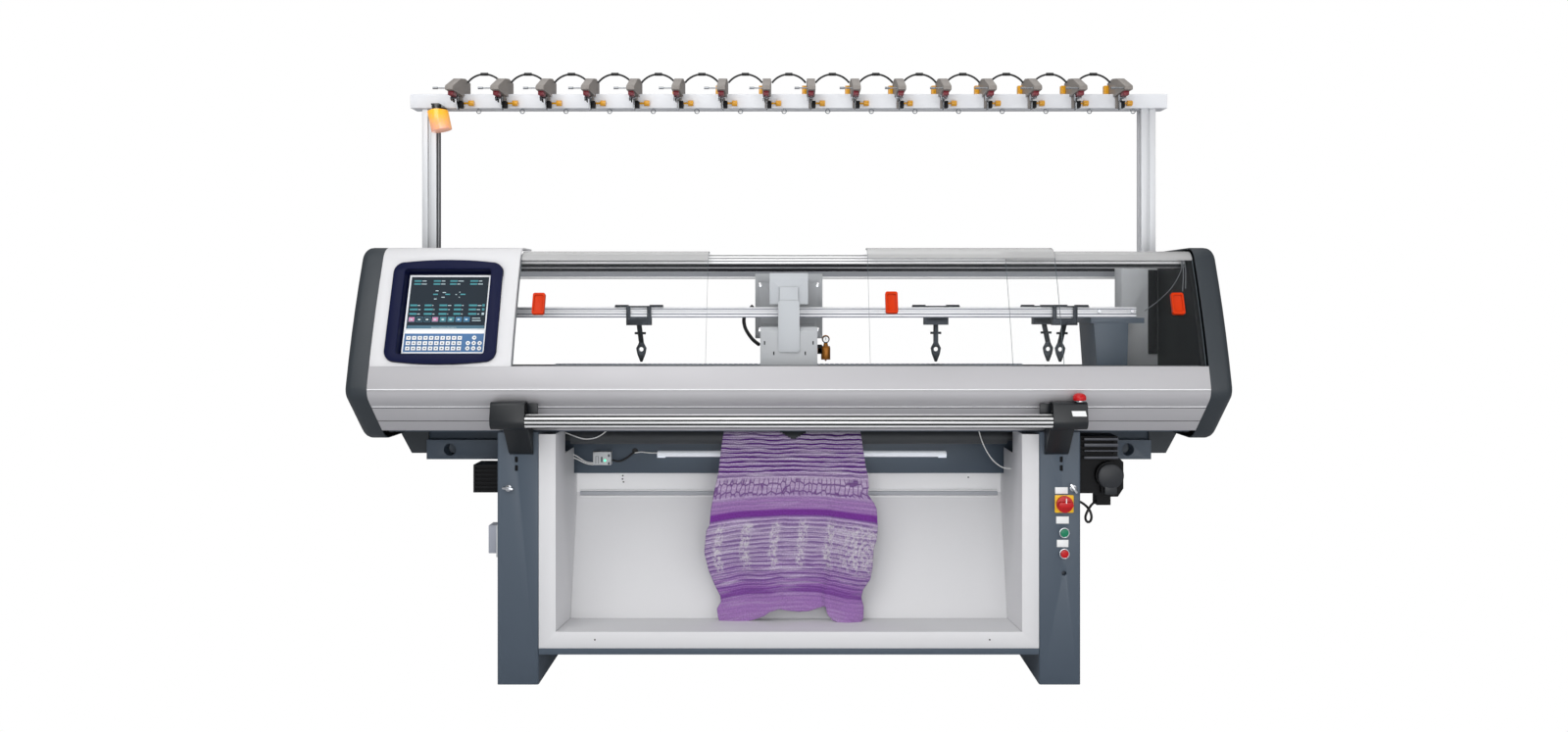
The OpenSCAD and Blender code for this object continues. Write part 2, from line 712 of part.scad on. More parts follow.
module button_collars() color(steel) {
    for (z = [start_button_z, stop_button_z]) on_leg_front(control_x, z) difference() {
        cylinder(d = collar_d, h = button_proud - 1);
        translate([0, 0, -1]) cylinder(d = button_d + 2 * run_gap, h = button_proud + 2);
    }
    // Collar under the mushroom head on the right bracket
    translate([control_x + 13, start_y - 1, start_z + 52]) difference() {
        cylinder(d = 24, h = 4);
        translate([0, 0, -1]) cylinder(d = 12 + 2 * run_gap, h = 6);
    }
}

module push_button(z, c) color(c) on_leg_front(control_x, z) translate([0, 0, -6])
    cylinder(d = button_d, h = button_proud + 8);

module start_button() push_button(start_button_z, "#0f8a4b");
module stop_button() push_button(stop_button_z, "#d8252c");

module estop_button() color("#d3161c") translate([control_x + 13, start_y - 1, start_z + 52]) {
    translate([0, 0, -6]) cylinder(d = 12, h = 16);
    translate([0, 0, 8.5]) rotate_extrude() polygon([[0, 0], [estop_d / 2 - 2, 0], [estop_d / 2, 2],
        [estop_d / 2, 5], [estop_d / 2 - 4, 9], [0, 10.5]]);
}

// Quarter-turn lock with a small wing, turned on its side at rest
module lock(x, tilt) color(steel) on_leg_front(x, lock_z) translate([0, 0, 0.3]) {
    cylinder(d = 18, h = 5);
    rotate(tilt) translate([0, 0, 4]) linear_extrude(10) round_rect(30, 6, 2);
}

module left_lock() lock(-leg_x - 83, -8);
module right_lock() lock(lock_x, -55);

// Finned motor on the right leg over a gearbox with a round front
module takedown_motor() color(black) {
    x = leg_x + leg_w;
    y = -150;
    difference() {
        translate([x, y - 40, leg_h - 90]) cube([136, 80, 66]);
        for (i = [0:5]) translate([x + 14, y - 41, leg_h - 84 + i * 10]) cube([110, 6, 5]);
    }
    along_y(y - 30, y + 40) polygon([[x, leg_h - 90], [x, leg_h - 190], [x + 70, leg_h - 190], [x + 84,
        leg_h - 200],
        [x + 140, leg_h - 200], [x + 156, leg_h - 176], [x + 156, leg_h - 100], [x + 146, leg_h - 90]]);
    translate([x + 112, y - 30, leg_h - 136]) rotate([90, 0, 0]) {
        cylinder(r = 40, h = 18);
        cylinder(r = 34, h = 22);
        cylinder(r = 17, h = 25);
    }
    translate([x + 88, y - 44, leg_h - 186]) cube([48, 20, 40]);
    translate([x + 82, y - 20, leg_h - 226]) cube([40, 44, 30]);
}

// Finned motor on the left leg
module racking_motor() color(black) difference() {
    translate([-leg_x - leg_w - 98, -190, leg_h - 186]) cube([98, 80, 80]);
    for (i = [0:5]) translate([-leg_x - leg_w - 92, -191, leg_h - 179 + i * 12]) cube([80, 5, 6]);
}

module work_lamp() color("#dfe3ea") {
    y = beam_y;
    z = beam_z + 61;
    x0 = -leg_x + lamp_left;
    x1 = leg_x - lamp_right;
    along_x(x0, x1) translate([y - 16, z]) round_rect(32, 16, 7);
    for (x = [x0, x1 - 24]) translate([x, y - 30, z - 10]) cube([24, 30, 2]);
}

module junction_boxes() color("#d5d8da") {
    translate([-leg_x + 105, beam_y - 26, beam_z + 28]) cube([54, 26, 40]);
    translate([-leg_x - leg_w - 30, -200, leg_h - 370]) cube([30, 120, 92]);
}

// Side line of the hanging knit: straight through the nip, then forward
function knit_y(z) = z > roller_z - 60 ? -gap_y : -gap_y - 34 * sin(90 * min(1, (roller_z - 60 - z) / 300));

module knitted_panel() color("#8d5fa3") intersection() {
    zs = [gap_z - 8, roller_z + 40, roller_z - 60, for (i = [1:10]) roller_z - 60 - i * 46.5];
    along_x(-300, 300) polygon(concat([for (z = zs) [knit_y(z) - knit_t / 2, z]],
        [for (i = [len(zs) - 1:-1:0]) [knit_y(zs[i]) + knit_t / 2, zs[i]]]));
    along_y(-leg_y, leg_y) polygon([[-205, gap_z], [-205, 690], [-238, 560], [-250, 440], [-240, 330],
        [-215, 160], [-85, 150], [-70, 190], [60, 205], [120, 170], [190, 130], [225, 240], [250, 380],
            [252, 450],
        [222, 560], [215, 690], [215, gap_z]]);
}

module drive_belt() color(black) translate([0, belt_y + belt_w, pulley_z]) rotate([90, 0, 0])
    linear_extrude(belt_w) difference() {
        r = pulley_r + 0.3;
        union() {
            for (s = [-1, 1]) translate([s * pulley_x, 0]) circle(r + belt_t);
            square([2 * pulley_x, 2 * (r + belt_t)], center = true);
        }
        for (s = [-1, 1]) translate([s * pulley_x, 0]) circle(r);
        square([2 * pulley_x, 2 * r], center = true);
    }

module pulley(s) color(steel) translate([s * pulley_x, 0, pulley_z]) rotate([-90, 0, 0]) difference() {
    union() {
        translate([0, 0, belt_y]) cylinder(r = pulley_r, h = belt_w);
        translate([0, 0, belt_y - 12]) cylinder(r = pulley_pin_r + 6, h = belt_w + 16);
    }
    translate([0, 0, belt_y - 13]) cylinder(r = pulley_pin_r + run_gap, h = belt_w + 30);
    // Four round windows through the web
    for (a = [45:90:315]) rotate(a) translate([(pulley_r + pulley_pin_r + 6) / 2, 0, belt_y - 13])
        cylinder(d = 6, h = belt_w + 30);
}

module left_pulley() pulley(-1);
module right_pulley() pulley(1);

module takedown_roller(s) color("#3a3d40") translate([0, -gap_y + s * roller_dy, roller_z]) rotate([0, 90,
    0]) {
    cylinder(r = roller_r, h = roller_l, center = true);
    cylinder(r = 10, h = bay_w - 4, center = true);
}

module front_roller() takedown_roller(-1);
module rear_roller() takedown_roller(1);

// Side view of the cam box that rides on one bed, sloped like the bed below it
module cam_profile(top) {
    function on_bed(d) = [-gap_y - d, bed_z(-gap_y - d) + carriage_gap / cos(bed_angle)];
    polygon([on_bed(26), on_bed(150), on_bed(150) + [0, 50], [-gap_y - 180, gap_z - 60], [-gap_y - 180,
        top - 12],
        [-gap_y - 168, top], [-gap_y - 92, top], [-gap_y - 84, gap_z - 20], [-gap_y - 26, gap_z - 12]]);
}

carriage_top = leg_h + 450;

module carriage_body() color("#b7babc") {
    cam_top = leg_h + 292;
    along_x(-cam_w / 2, cam_w / 2) cam_profile(cam_top);
    translate([0, -2 * gap_y, 0]) mirror([0, 1, 0]) along_x(-cam_w / 2, cam_w / 2) cam_profile(cam_top);
    // Tall plate on the rear cam box
    difference() {
        along_x(-carriage_w / 2, carriage_w / 2) translate([-gap_y + 140, leg_h + 250]) square([18,
            carriage_top - leg_h - 250]);
        for (x = [-1, 1], z = [leg_h + 280, carriage_top - 30]) translate([x * (carriage_w / 2 - 14), 0, z])
            rotate([-90, 0, 0]) cylinder(d = 7, h = 200);
    }
    // Clip over the upper run of the drive belt
    translate([-30, -gap_y + 179, pulley_z + pulley_r + belt_t + 0.6])
        cube([60, belt_y + belt_w + gap_y - 179, 12]);
}

// Arm in front of the rails with a wider head that reaches over to the rear plate
module carriage_bridge() color(white) {
    y0 = -gap_y - 172;
    y1 = -gap_y + 140;
    z0 = leg_h + 222;
    z1 = carriage_top - 6;
    head = 88;
    along_y(y0 - 14, y0 - 8) round_rect_at(bridge_w, z0, z1 - head + 10, 8);
    along_x(-bridge_w / 2 + 4, bridge_w / 2 - 4) translate([y0 - 8, leg_h + 292]) square([12,
        z1 - 40 - leg_h - 292]);
    along_x(-bridge_head_w / 2, bridge_head_w / 2) polygon([[y0 + 4, z1 - head], [y0 + 4, z1 - 16],
        [y0 + 20, z1],
        [y1, z1], [y1, z1 - 50], [y0 + 50, z1 - 50], [y0 + 34, z1 - head]]);
}

// A rounded upright rectangle between two heights
module round_rect_at(w, z0, z1, r) translate([0, (z0 + z1) / 2]) round_rect(w, z1 - z0, r);

module carriage_oiler() color("#9a6a2f") translate([cam_w / 2, -gap_y - 150, leg_h + 200]) {
    translate([0, -8, 20]) cube([12, 16, 12]);
    translate([24, 0, 0]) cylinder(d = 26, h = 34);
    translate([24, 0, 34]) cylinder(d = 8, h = 14);
    translate([24, 6, 58]) rotate([90, 0, 0]) cylinder(d = 22, h = 12);
}

// One yarn carrier: slider over rail i, stem, clamp and pierced nozzle that leads to the bed opening
module yarn_carrier(i, x) color("#5b5f63") translate([x, 0, 0]) {
    ry = rail_y(i);
    tip_y = -gap_y + (i - 1) * 12;
    g = carrier_gap;
    t = 5;
    // Slider: cap over the rail, cheeks beside it and a block below
    difference() {
        along_x(-36, 36) translate([ry, rail_z]) difference() {
            translate([-rail_t / 2 - g - t, -22]) square([rail_t + 2 * (g + t), rail_h + 22 + g + 4]);
            translate([-rail_t / 2 - g, -g]) square([rail_t + 2 * g, rail_h + 2 * g]);
        }
        translate([-24, ry - 30, rail_z - 1]) cube([48, 60, rail_h + g + 1]);
    }
    // Wings over the rail
    translate([-carrier_w / 2, ry - 11, rail_z + rail_h + g]) cube([carrier_w, 22, 3]);
    for (s = [-1, 1]) translate([s * (carrier_w / 2 - 20), ry, rail_z + rail_h + g + 3])
        linear_extrude(4) square([38, 14], center = true);
    // Stem with a wing screw
    along_x(-7, 7) polygon([[ry - 4, rail_z - 21], [ry + 4, rail_z - 21], [tip_y + 4, gap_z + 62],
        [tip_y - 4, gap_z + 62]]);
    along_x(-16, 16) translate([(ry + tip_y) / 2, rail_z - 46]) circle(d = 7);
    // Nozzle
    along_y(tip_y - 4, tip_y + 4) difference() {
        polygon([[-6, gap_z + 64], [6, gap_z + 64], [15, gap_z + 46], [12, gap_z + 30], [3, gap_z + 6],
            [-3, gap_z + 6],
            [-12, gap_z + 30], [-15, gap_z + 46]]);
        translate([0, gap_z + 43]) circle(d = 13);
    }
}

park_x = leg_x - 260;
module yarn_carrier_1() yarn_carrier(0, -park_x);
module yarn_carrier_2() yarn_carrier(1, park_x);
module yarn_carrier_3() yarn_carrier(2, column_x - 240);
module yarn_carrier_4() yarn_carrier(0, column_x - 210);

left_door_x = console_x + left_door_gap;
right_door_x = cap_x - right_door_gap - door_w;

// A clear sheet bent like the covers, on the outer or the inner track
module door(x, inset) color("#dfe9ee", 0.35) along_x(x, x + door_w)
    shell_band(inset, door_t, -nose_f - 50, -205, sill_z + door_low, top_z + 1);

module left_door() door(left_door_x, inner_track);
module middle_door() door(middle_door_x, 0);
module right_door() door(right_door_x, inner_track);

// A cupped pull on the outer face of a door sheet
module door_handle(x, inset) color(orange) on_face(x, leg_h + 356) translate([0, 0, -inset + 0.3])
    difference() {
    linear_extrude(handle_d) round_rect(handle_w, handle_h, 6);
    translate([0, 0, handle_d - 3.5]) linear_extrude(handle_d) round_rect(handle_w - 10, handle_h - 14, 4);
}

handle_in = 62;
module left_door_handle() door_handle(left_door_x + handle_in, inner_track);
module middle_door_handle() door_handle(middle_door_x + handle_in, 0);
module right_door_handle() door_handle(right_door_x + door_w - handle_in, inner_track);

left_leg();
right_leg();
cross_beam();
base_rails();
catch_tray();
bed_base();
front_needle_bed();
rear_needle_bed();
front_apron();
rear_apron();
left_end_cap();
right_end_cap();
side_plates();
console_cover();
console_bezel();
display_unit();
top_rails();
yarn_rails();
rail_columns();
posts();
creel_bar();
tension_bodies();
tension_knobs();
yarn_eyelets();
tension_cables();
signal_lamp();
left_bracket();
right_bracket();
switch_plate();
button_collars();
takedown_motor();
racking_motor();
work_lamp();
junction_boxes();
knitted_panel();
drive_belt();
carriage_body();
carriage_bridge();
carriage_oiler();
yarn_carrier_1();
yarn_carrier_2();
yarn_carrier_3();
yarn_carrier_4();
left_door();
middle_door();
right_door();
left_door_handle();
middle_door_handle();
right_door_handle();
start_bar();
switch_knob();
start_button();
stop_button();
estop_button();
left_lock();
right_lock();
front_roller();
rear_roller();
left_pulley();
right_pulley();
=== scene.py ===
import json
import math
import random
import bmesh
import bpy
from mathutils import Matrix, Vector


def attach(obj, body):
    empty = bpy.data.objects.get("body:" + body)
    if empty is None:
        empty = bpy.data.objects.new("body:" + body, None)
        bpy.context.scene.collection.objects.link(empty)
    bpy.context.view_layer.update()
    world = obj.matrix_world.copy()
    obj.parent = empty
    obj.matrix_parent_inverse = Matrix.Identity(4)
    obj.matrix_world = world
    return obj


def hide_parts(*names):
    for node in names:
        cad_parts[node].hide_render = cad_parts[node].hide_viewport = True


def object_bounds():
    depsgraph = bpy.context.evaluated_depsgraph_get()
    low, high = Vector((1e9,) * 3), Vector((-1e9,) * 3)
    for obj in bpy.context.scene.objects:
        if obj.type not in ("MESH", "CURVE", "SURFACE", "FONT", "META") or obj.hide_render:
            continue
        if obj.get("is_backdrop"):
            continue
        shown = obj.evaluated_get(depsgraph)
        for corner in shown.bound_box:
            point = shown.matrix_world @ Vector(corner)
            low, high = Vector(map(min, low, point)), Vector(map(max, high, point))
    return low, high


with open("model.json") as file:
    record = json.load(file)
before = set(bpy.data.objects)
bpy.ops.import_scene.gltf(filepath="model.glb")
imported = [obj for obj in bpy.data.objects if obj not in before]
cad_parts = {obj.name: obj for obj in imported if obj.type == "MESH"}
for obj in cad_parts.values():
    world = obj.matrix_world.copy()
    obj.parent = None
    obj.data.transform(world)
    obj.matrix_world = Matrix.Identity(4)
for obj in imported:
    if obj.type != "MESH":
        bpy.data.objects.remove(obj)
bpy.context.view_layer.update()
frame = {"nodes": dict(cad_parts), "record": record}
nodes, record = frame["nodes"], frame["record"]
bodyOf = {name: body for body, members in record["behaviour"]["bodies"].items() for name in members}
slotOf = {part["node"]: part["material_slot"] for part in record["subparts"]}
scene = bpy.context.scene
mm = 0.001
print("stage: frame loaded,", len(nodes), "nodes")


def hexColor(code):
    parts = [int(code[i:i + 2], 16) / 255 for i in (1, 3, 5)]
    return tuple(c / 12.92 if c <= 0.04045 else ((c + 0.055) / 1.055) ** 2.4 for c in parts) + (1.0,)


def shade(color, factor):
    return tuple(min(1, c * factor) for c in color[:3]) + (1.0,)


def addNode(tree, kind, values=None, links=None, **props):
    node = tree.nodes.new(kind)
    for key, value in props.items():
        setattr(node, key, value)
    for key, value in (values or {}).items():
        node.inputs[key].default_value = value
    for key, source in (links or {}).items():
        tree.links.new(source, node.inputs[key])
    return node


def setInput(tree, socket, value):
    if isinstance(value, bpy.types.NodeSocket):
        tree.links.new(value, socket)
    else:
        socket.default_value = value


def startMaterial(name, values):
    material = bpy.data.materials.new(name)
    material.use_nodes = True
    tree = material.node_tree
    tree.nodes.clear()
    shader = addNode(tree, "ShaderNodeBsdfPrincipled", values)
    addNode(tree, "ShaderNodeOutputMaterial", links={"Surface": shader.outputs["BSDF"]})
    place = addNode(tree, "ShaderNodeTexCoord").outputs["Object"]
    return material, tree, shader, place


def feed(tree, shader, sources):
    for key, source in sources.items():
        tree.links.new(source, shader.inputs[key])


def mathNode(tree, operation, *terms, **props):
    node = addNode(tree, "ShaderNodeMath", operation=operation, **props)
    for socket, term in zip(node.inputs, terms):
        setInput(tree, socket, term)
    return node.outputs[0]


def mixColor(tree, factor, first, second, blend="MIX"):
    mix = addNode(tree, "ShaderNodeMix", data_type="RGBA", blend_type=blend)
    for key, value in (("Factor", factor), (6, first), (7, second)):
        setInput(tree, mix.inputs[key], value)
    return mix.outputs[2]


def varied(tree, factor, color, spread):
    return mixColor(tree, factor, shade(color, 1 - spread), shade(color, 1 + spread))


def ranged(tree, source, low, high, fromLow=0.3, fromHigh=0.7):
    limits = {"From Min": fromLow, "From Max": fromHigh, "To Min": low, "To Max": high}
    return addNode(tree, "ShaderNodeMapRange", limits, {"Value": source}).outputs["Result"]


def noiseNode(tree, place, scale, detail=2.0, roughness=0.5):
    values = {"Scale": scale, "Detail": detail, "Roughness": roughness}
    return addNode(tree, "ShaderNodeTexNoise", values, {"Vector": place}).outputs["Fac"]


def stretched(tree, place, scale):
    return addNode(tree, "ShaderNodeMapping", {"Scale": scale}, {"Vector": place}).outputs["Vector"]


def heightOf(tree, place):
    return addNode(tree, "ShaderNodeSeparateXYZ", links={"Vector": place}).outputs["Z"]


def bumped(tree, height, strength, depthMm):
    values = {"Strength": strength, "Distance": depthMm * mm}
    return addNode(tree, "ShaderNodeBump", values, {"Height": height}).outputs["Normal"]


# painted shade: ambient occlusion darkens the colour in recesses and creases
def occlusionShaded(tree, color, dark, depthMm):
    values = {"Distance": depthMm * mm}
    lit = addNode(tree, "ShaderNodeAmbientOcclusion", values, samples=6, only_local=True).outputs["AO"]
    return mixColor(tree, ranged(tree, lit, 0, 1, 0.35, 0.92), dark, color)


# the two crease settings give painted shade: how far in and how dark recesses are darkened
paintLook = {"cloudMm": 140, "shadeDepthMm": 5, "shadeTone": 0.45, "bump": 0.5, "coatRoughness": 0.2}
brushLook = {"along": 4.0, "shadeDepthMm": 8, "shadeTone": 0.08, "bump": 0.1, "bumpMm": 0.01}
glowLook = {"cloudMm": 25}


def painted(name, code, roughness=0.42, grainMm=0.9, bumpMm=0.03, spread=0.05, metallic=0.0, coat=0.0,
            gloss=0.5):
    color, look = hexColor(code), paintLook
    material, tree, shader, place = startMaterial(name, {
        "Metallic": metallic, "Coat Weight": coat, "Coat Roughness": look["coatRoughness"],
        "Specular IOR Level": gloss})
    cloud = noiseNode(tree, place, 1000 / look["cloudMm"], 3.0)
    tone = varied(tree, cloud, color, spread)
    feed(tree, shader, {
        "Base Color": occlusionShaded(tree, tone, shade(color, look["shadeTone"]), look["shadeDepthMm"]),
        "Roughness": ranged(tree, cloud, roughness - 0.05, roughness + 0.06),
        "Normal": bumped(tree, noiseNode(tree, place, 1000 / grainMm), look["bump"], bumpMm)})
    return material


def brushed(name, code, axis=0, lineMm=0.7, roughness=0.3, spread=0.09, metallic=1.0):
    color, look = hexColor(code), brushLook
    material, tree, shader, place = startMaterial(name, {"Metallic": metallic})
    stretch = [1000 / lineMm] * 3
    stretch[axis] = look["along"]
    streak = noiseNode(tree, stretched(tree, place, stretch), 1.0, 3.0)
    tone = varied(tree, streak, color, spread)
    feed(tree, shader, {
        "Base Color": occlusionShaded(tree, tone, shade(color, look["shadeTone"]), look["shadeDepthMm"]),
        "Roughness": ranged(tree, streak, roughness - 0.07, roughness + 0.09),
        "Normal": bumped(tree, streak, look["bump"], look["bumpMm"])})
    return material


def glowing(name, code, glow, roughness=0.25, spread=0.05, gloss=0.2):
    color = hexColor(code)
    material, tree, shader, place = startMaterial(name, {
        "Roughness": roughness, "Emission Color": color, "Emission Strength": glow,
        "Specular IOR Level": gloss})
    cloud = noiseNode(tree, place, 1000 / glowLook["cloudMm"])
    feed(tree, shader, {"Base Color": varied(tree, cloud, color, spread)})
    return material


finishes = {
    "grey_powder_coat": painted("powderCoatSlate", "#485461", 0.46, 1.0, 0.05),  # blue-grey, soft sheen
    "white_powder_coat": painted("powderCoatWhite", "#dbdbdd", 0.48, 1.0, 0.04, 0.02),  # clean white sheet
    "needle_steel": brushed("groundSteelBed", "#8e959c", 1, 0.8),  # ground steel across the bed
    "apron_aluminium": painted("silverPaintSatin", "#b9b8bb", 0.42, 0.5, 0.02, 0.03, 0.12),  # silver cover
    "charcoal_plastic": painted("texturedPlasticCharcoal", "#2b3238", 0.5, 1.4, 0.09),  # leathered moulding
    "black_plate": painted("blackPaintPlate", "#0d0f12", 0.55, 1.0, gloss=0.15),  # insides stay near black
    "navy_plastic": painted("glossPlasticNavy", "#0b1236", 0.45, 0.8, 0.01, 0.04, gloss=0.12),  # dark blue
    "display_panel": painted("matPlasticPanel", "#d6dbe0", 0.5, 0.6, 0.02, 0.03),  # pale round the screen
    "bright_aluminium": brushed("anodisedAluminium", "#b9bbbf", 0, 0.8, 0.3, 0.04),  # lines along the bar
    "column_paint": painted("greyPaintLight", "#b4b7ba", spread=0.03),  # light grey castings
    "bar_paint": painted("whitePaintBar", "#eaecf0", 0.4, 0.9, 0.02, 0.02),  # white bar and bridge
    "tension_casting": painted("castPaintTaupe", "#8a847f", 0.45, 1.2, 0.06, 0.06),  # warm grey die casting
    "amber_plastic": painted("glossPlasticAmber", "#e9a516", 0.28, 0.8, 0.01, 0.08, coat=0.3),  # warm knobs
    "guide_steel": brushed("polishedWire", "#8f9296", 2, 0.4, 0.2),  # bent wire guides
    "cable_rubber": painted("rubberBlack", "#0c0c0e", 0.55, 1.2, 0.04, 0.1),  # matt black jackets
    "lamp_amber": painted("plasticLampAmber", "#ef9a4a", 0.2, 1.0, 0.02, 0.1),  # lens, a glow goes over it
    "yellow_plastic": painted("glossPlasticYellow", "#f1bd16", 0.3, 0.8, 0.01),  # clear yellow plate
    "red_plastic": painted("glossPlasticRed", "#bd0810", 0.28, 0.8, 0.005, 0.06, gloss=0.4),  # deep red
    "green_plastic": painted("glossPlasticGreen", "#057a56", 0.28, 0.8, 0.005, 0.06, gloss=0.4),  # sea green
    "chrome_trim": brushed("chromeTrim", "#c3c6ca", 1, 0.4, 0.14, 0.04),  # locks that mirror the room
    "motor_black": painted("castPaintBlack", "#0c0d10", 0.5, 1.3, 0.06, 0.1, gloss=0.2),  # rough black
    "lamp_plastic": glowing("frostedTube", "#e9edf4", 0.25),  # frosted lamp tube, faintly lit
    "box_plastic": painted("matPlasticBox", "#cfd2d4", 0.5, 0.8, spread=0.03),  # pale grey boxes
    "purple_knit": painted("knitPlain", "#8d5fa3", 0.85, 2.0, 0.3),  # plain wool, stripes go over it
    "oiler_brass": brushed("castBrass", "#8f5a1a", 2, 1.2, 0.36, 0.12, 0.6),  # dull warm brass
    "carrier_steel": brushed("darkSheetSteel", "#33363b", 2, 0.8, 0.36),  # dark carrier plates
    "clear_acrylic": painted("acrylicClear", "#e9f1f4", 0.05, 0.8, 0.0),  # pale, clear sheets go over it
    "orange_plastic": painted("glossPlasticOrange", "#cf3400", 0.4, 0.8, 0.01, gloss=0.15),  # door pulls
    "roller_rubber": painted("groundRubber", "#3a3d40", 0.6, 0.9, 0.06, 0.08),  # dull take-down rollers
    "pulley_alloy": brushed("turnedAlloy", "#a8abb0", 1),  # turned pulley faces
}
for name, slotName in slotOf.items():
    nodes[name].data.materials.clear()
    nodes[name].data.materials.append(finishes[slotName])
print("stage: materials,", len(finishes))


def placePiece(name, mesh, slotName, material=None, body="frame", hides=()):
    piece = bpy.data.objects.new(name, mesh)
    scene.collection.objects.link(piece)
    if material:
        mesh.materials.clear()
    if not mesh.materials:
        mesh.materials.append(material or finishes[slotName])
    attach(piece, body)
    if hides:
        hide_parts(*hides)
    return piece


def meshFrom(bm):
    mesh = bpy.data.meshes.new("mesh")
    bm.to_mesh(mesh)
    bm.free()
    return mesh


def smoothed(mesh, degrees=35):
    mesh.polygons.foreach_set("use_smooth", [True] * len(mesh.polygons))
    mesh.set_sharp_from_angle(angle=math.radians(degrees))
    return mesh


def finishMesh(bm):
    bmesh.ops.recalc_face_normals(bm, faces=bm.faces)
    return smoothed(meshFrom(bm))


def modified(mesh, kind, settings, inputs=None):
    work = bpy.data.objects.new("work", mesh)
    scene.collection.objects.link(work)
    modifier = work.modifiers.new("build", kind)
    for key, value in settings.items():
        setattr(modifier, key, value)
    for key, value in (inputs or {}).items():
        modifier[key] = value
    bpy.context.view_layer.update()
    result = bpy.data.meshes.new_from_object(work.evaluated_get(bpy.context.evaluated_depsgraph_get()))
    bpy.data.objects.remove(work)
    return result


def softened(name, widthMm, segments=2):
    bm = bmesh.new()
    bm.from_mesh(nodes[name].data)
    bmesh.ops.remove_doubles(bm, verts=bm.verts, dist=0.01 * mm)
    bmesh.ops.dissolve_limit(bm, angle_limit=math.radians(0.5), verts=bm.verts, edges=bm.edges)
    return smoothed(modified(meshFrom(bm), "BEVEL", {
        "width": widthMm * mm, "segments": segments, "limit_method": "ANGLE", "angle_limit": math.radians(38),
        "miter_outer": "MITER_ARC"}), 32)


edgeMm = {
    "left_leg": 1.5, "right_leg": 1.5, "cross_beam": 1.2, "base_rails": 1.0, "catch_tray": 0.5,
    "bed_base": 1.0, "front_apron": 0.8, "rear_apron": 0.8, "left_end_cap": 2.0, "right_end_cap": 2.0,
    "side_plates": 1.0, "console_cover": 1.0, "console_bezel": 2.0, "top_rails": 0.5, "yarn_rails": 0.5,
    "rail_columns": 2.0, "yarn_carrier_1": 0.4, "yarn_carrier_2": 0.4, "yarn_carrier_3": 0.4,
    "yarn_carrier_4": 0.4, "carriage_body": 1.2, "carriage_bridge": 2.5, "carriage_oiler": 0.6, "posts": 0.8,
    "creel_bar": 1.2, "tension_bodies": 1.0, "tension_knobs": 0.8, "signal_lamp": 1.0, "left_bracket": 4.0,
    "right_bracket": 4.0, "start_bar": 0.4, "switch_plate": 0.8, "switch_knob": 0.8, "button_collars": 0.6,
    "start_button": 0.8, "stop_button": 0.8, "left_lock": 0.6, "right_lock": 0.6, "work_lamp": 0.6,
    "junction_boxes": 1.2, "left_door_handle": 2.0, "middle_door_handle": 2.0, "right_door_handle": 2.0,
}
for name, width in edgeMm.items():
    placePiece(name + "_finish", softened(name, width), slotOf[name], None, bodyOf[name], (name,))
print("stage: softened edges,", len(edgeMm), "nodes")


def repaint(name, material):
    bpy.data.objects[name + "_finish"].data.materials[0] = material


def paintFaces(name, material, chosen):
    mesh = bpy.data.objects[name + "_finish"].data
    mesh.materials.append(material)
    for face in mesh.polygons:
        if chosen(face):
            face.material_index = 1


def groovedRail(look):
    material, tree, shader, place = startMaterial("anodisedYarnRail", {"Metallic": 0.1, "Roughness": 0.4})
    height, tone = heightOf(tree, place), hexColor(look["pale"])
    for level in look["heights"]:
        line = mathNode(tree, "COMPARE", height, level * mm, look["halfMm"] * mm)
        tone = mixColor(tree, line, tone, hexColor(look["line"]))
    feed(tree, shader, {"Base Color": tone})
    return material  # pale rail, its grooves drawn as dark lines of painted shade


def ribbedBar(look):
    material, tree, shader, place = startMaterial("ribbedAluminium", {"Metallic": 0.4, "Roughness": 0.3})
    rise = mathNode(tree, "ADD", heightOf(tree, place), -look["ribZ"] * mm)
    turn = mathNode(tree, "MULTIPLY", rise, 2 * math.pi / (look["pitchMm"] * mm))
    rib = ranged(tree, mathNode(tree, "COSINE", turn), 0, 1, -0.4, 0.0)
    tone = mixColor(tree, rib, hexColor(look["groove"]), hexColor(look["bright"]))
    feed(tree, shader, {"Base Color": tone})
    return material  # painted highlights on the ribs and painted shade in the dark grooves, by height round the bar


def amberLens(look):
    material, tree, shader, place = startMaterial("lampLensAmber", {
        "Roughness": 0.22, "Coat Weight": 0.4, "Emission Strength": look["glow"]})
    height, neck = heightOf(tree, place), look["neckZ"]
    facet = addNode(tree, "ShaderNodeTexVoronoi", {"Scale": 150.0}, {"Vector": place}).outputs["Distance"]
    fade = ranged(tree, height, 0, 1, look["lowZ"], neck - 0.006)
    level = mathNode(tree, "ADD", fade, mathNode(tree, "MULTIPLY_ADD", facet, 0.45, -0.1), use_clamp=True)
    lens = mixColor(tree, level, hexColor(look["pale"]), hexColor(look["amber"]))
    holder = ranged(tree, height, 0, 1, neck - 0.001, neck + 0.001)
    feed(tree, shader, {"Base Color": mixColor(tree, holder, lens, hexColor(look["dark"])),
                        "Emission Color": mixColor(tree, holder, lens, (0, 0, 0, 1))})
    return material  # lit amber lens that pales downwards, on a dark holder


# the rail's line colour is painted shade in the grooves
railLook = {"pale": "#eff0f3", "line": "#5d6470", "heights": (1042.3, 1027.3, 1018.6), "halfMm": 1.3}
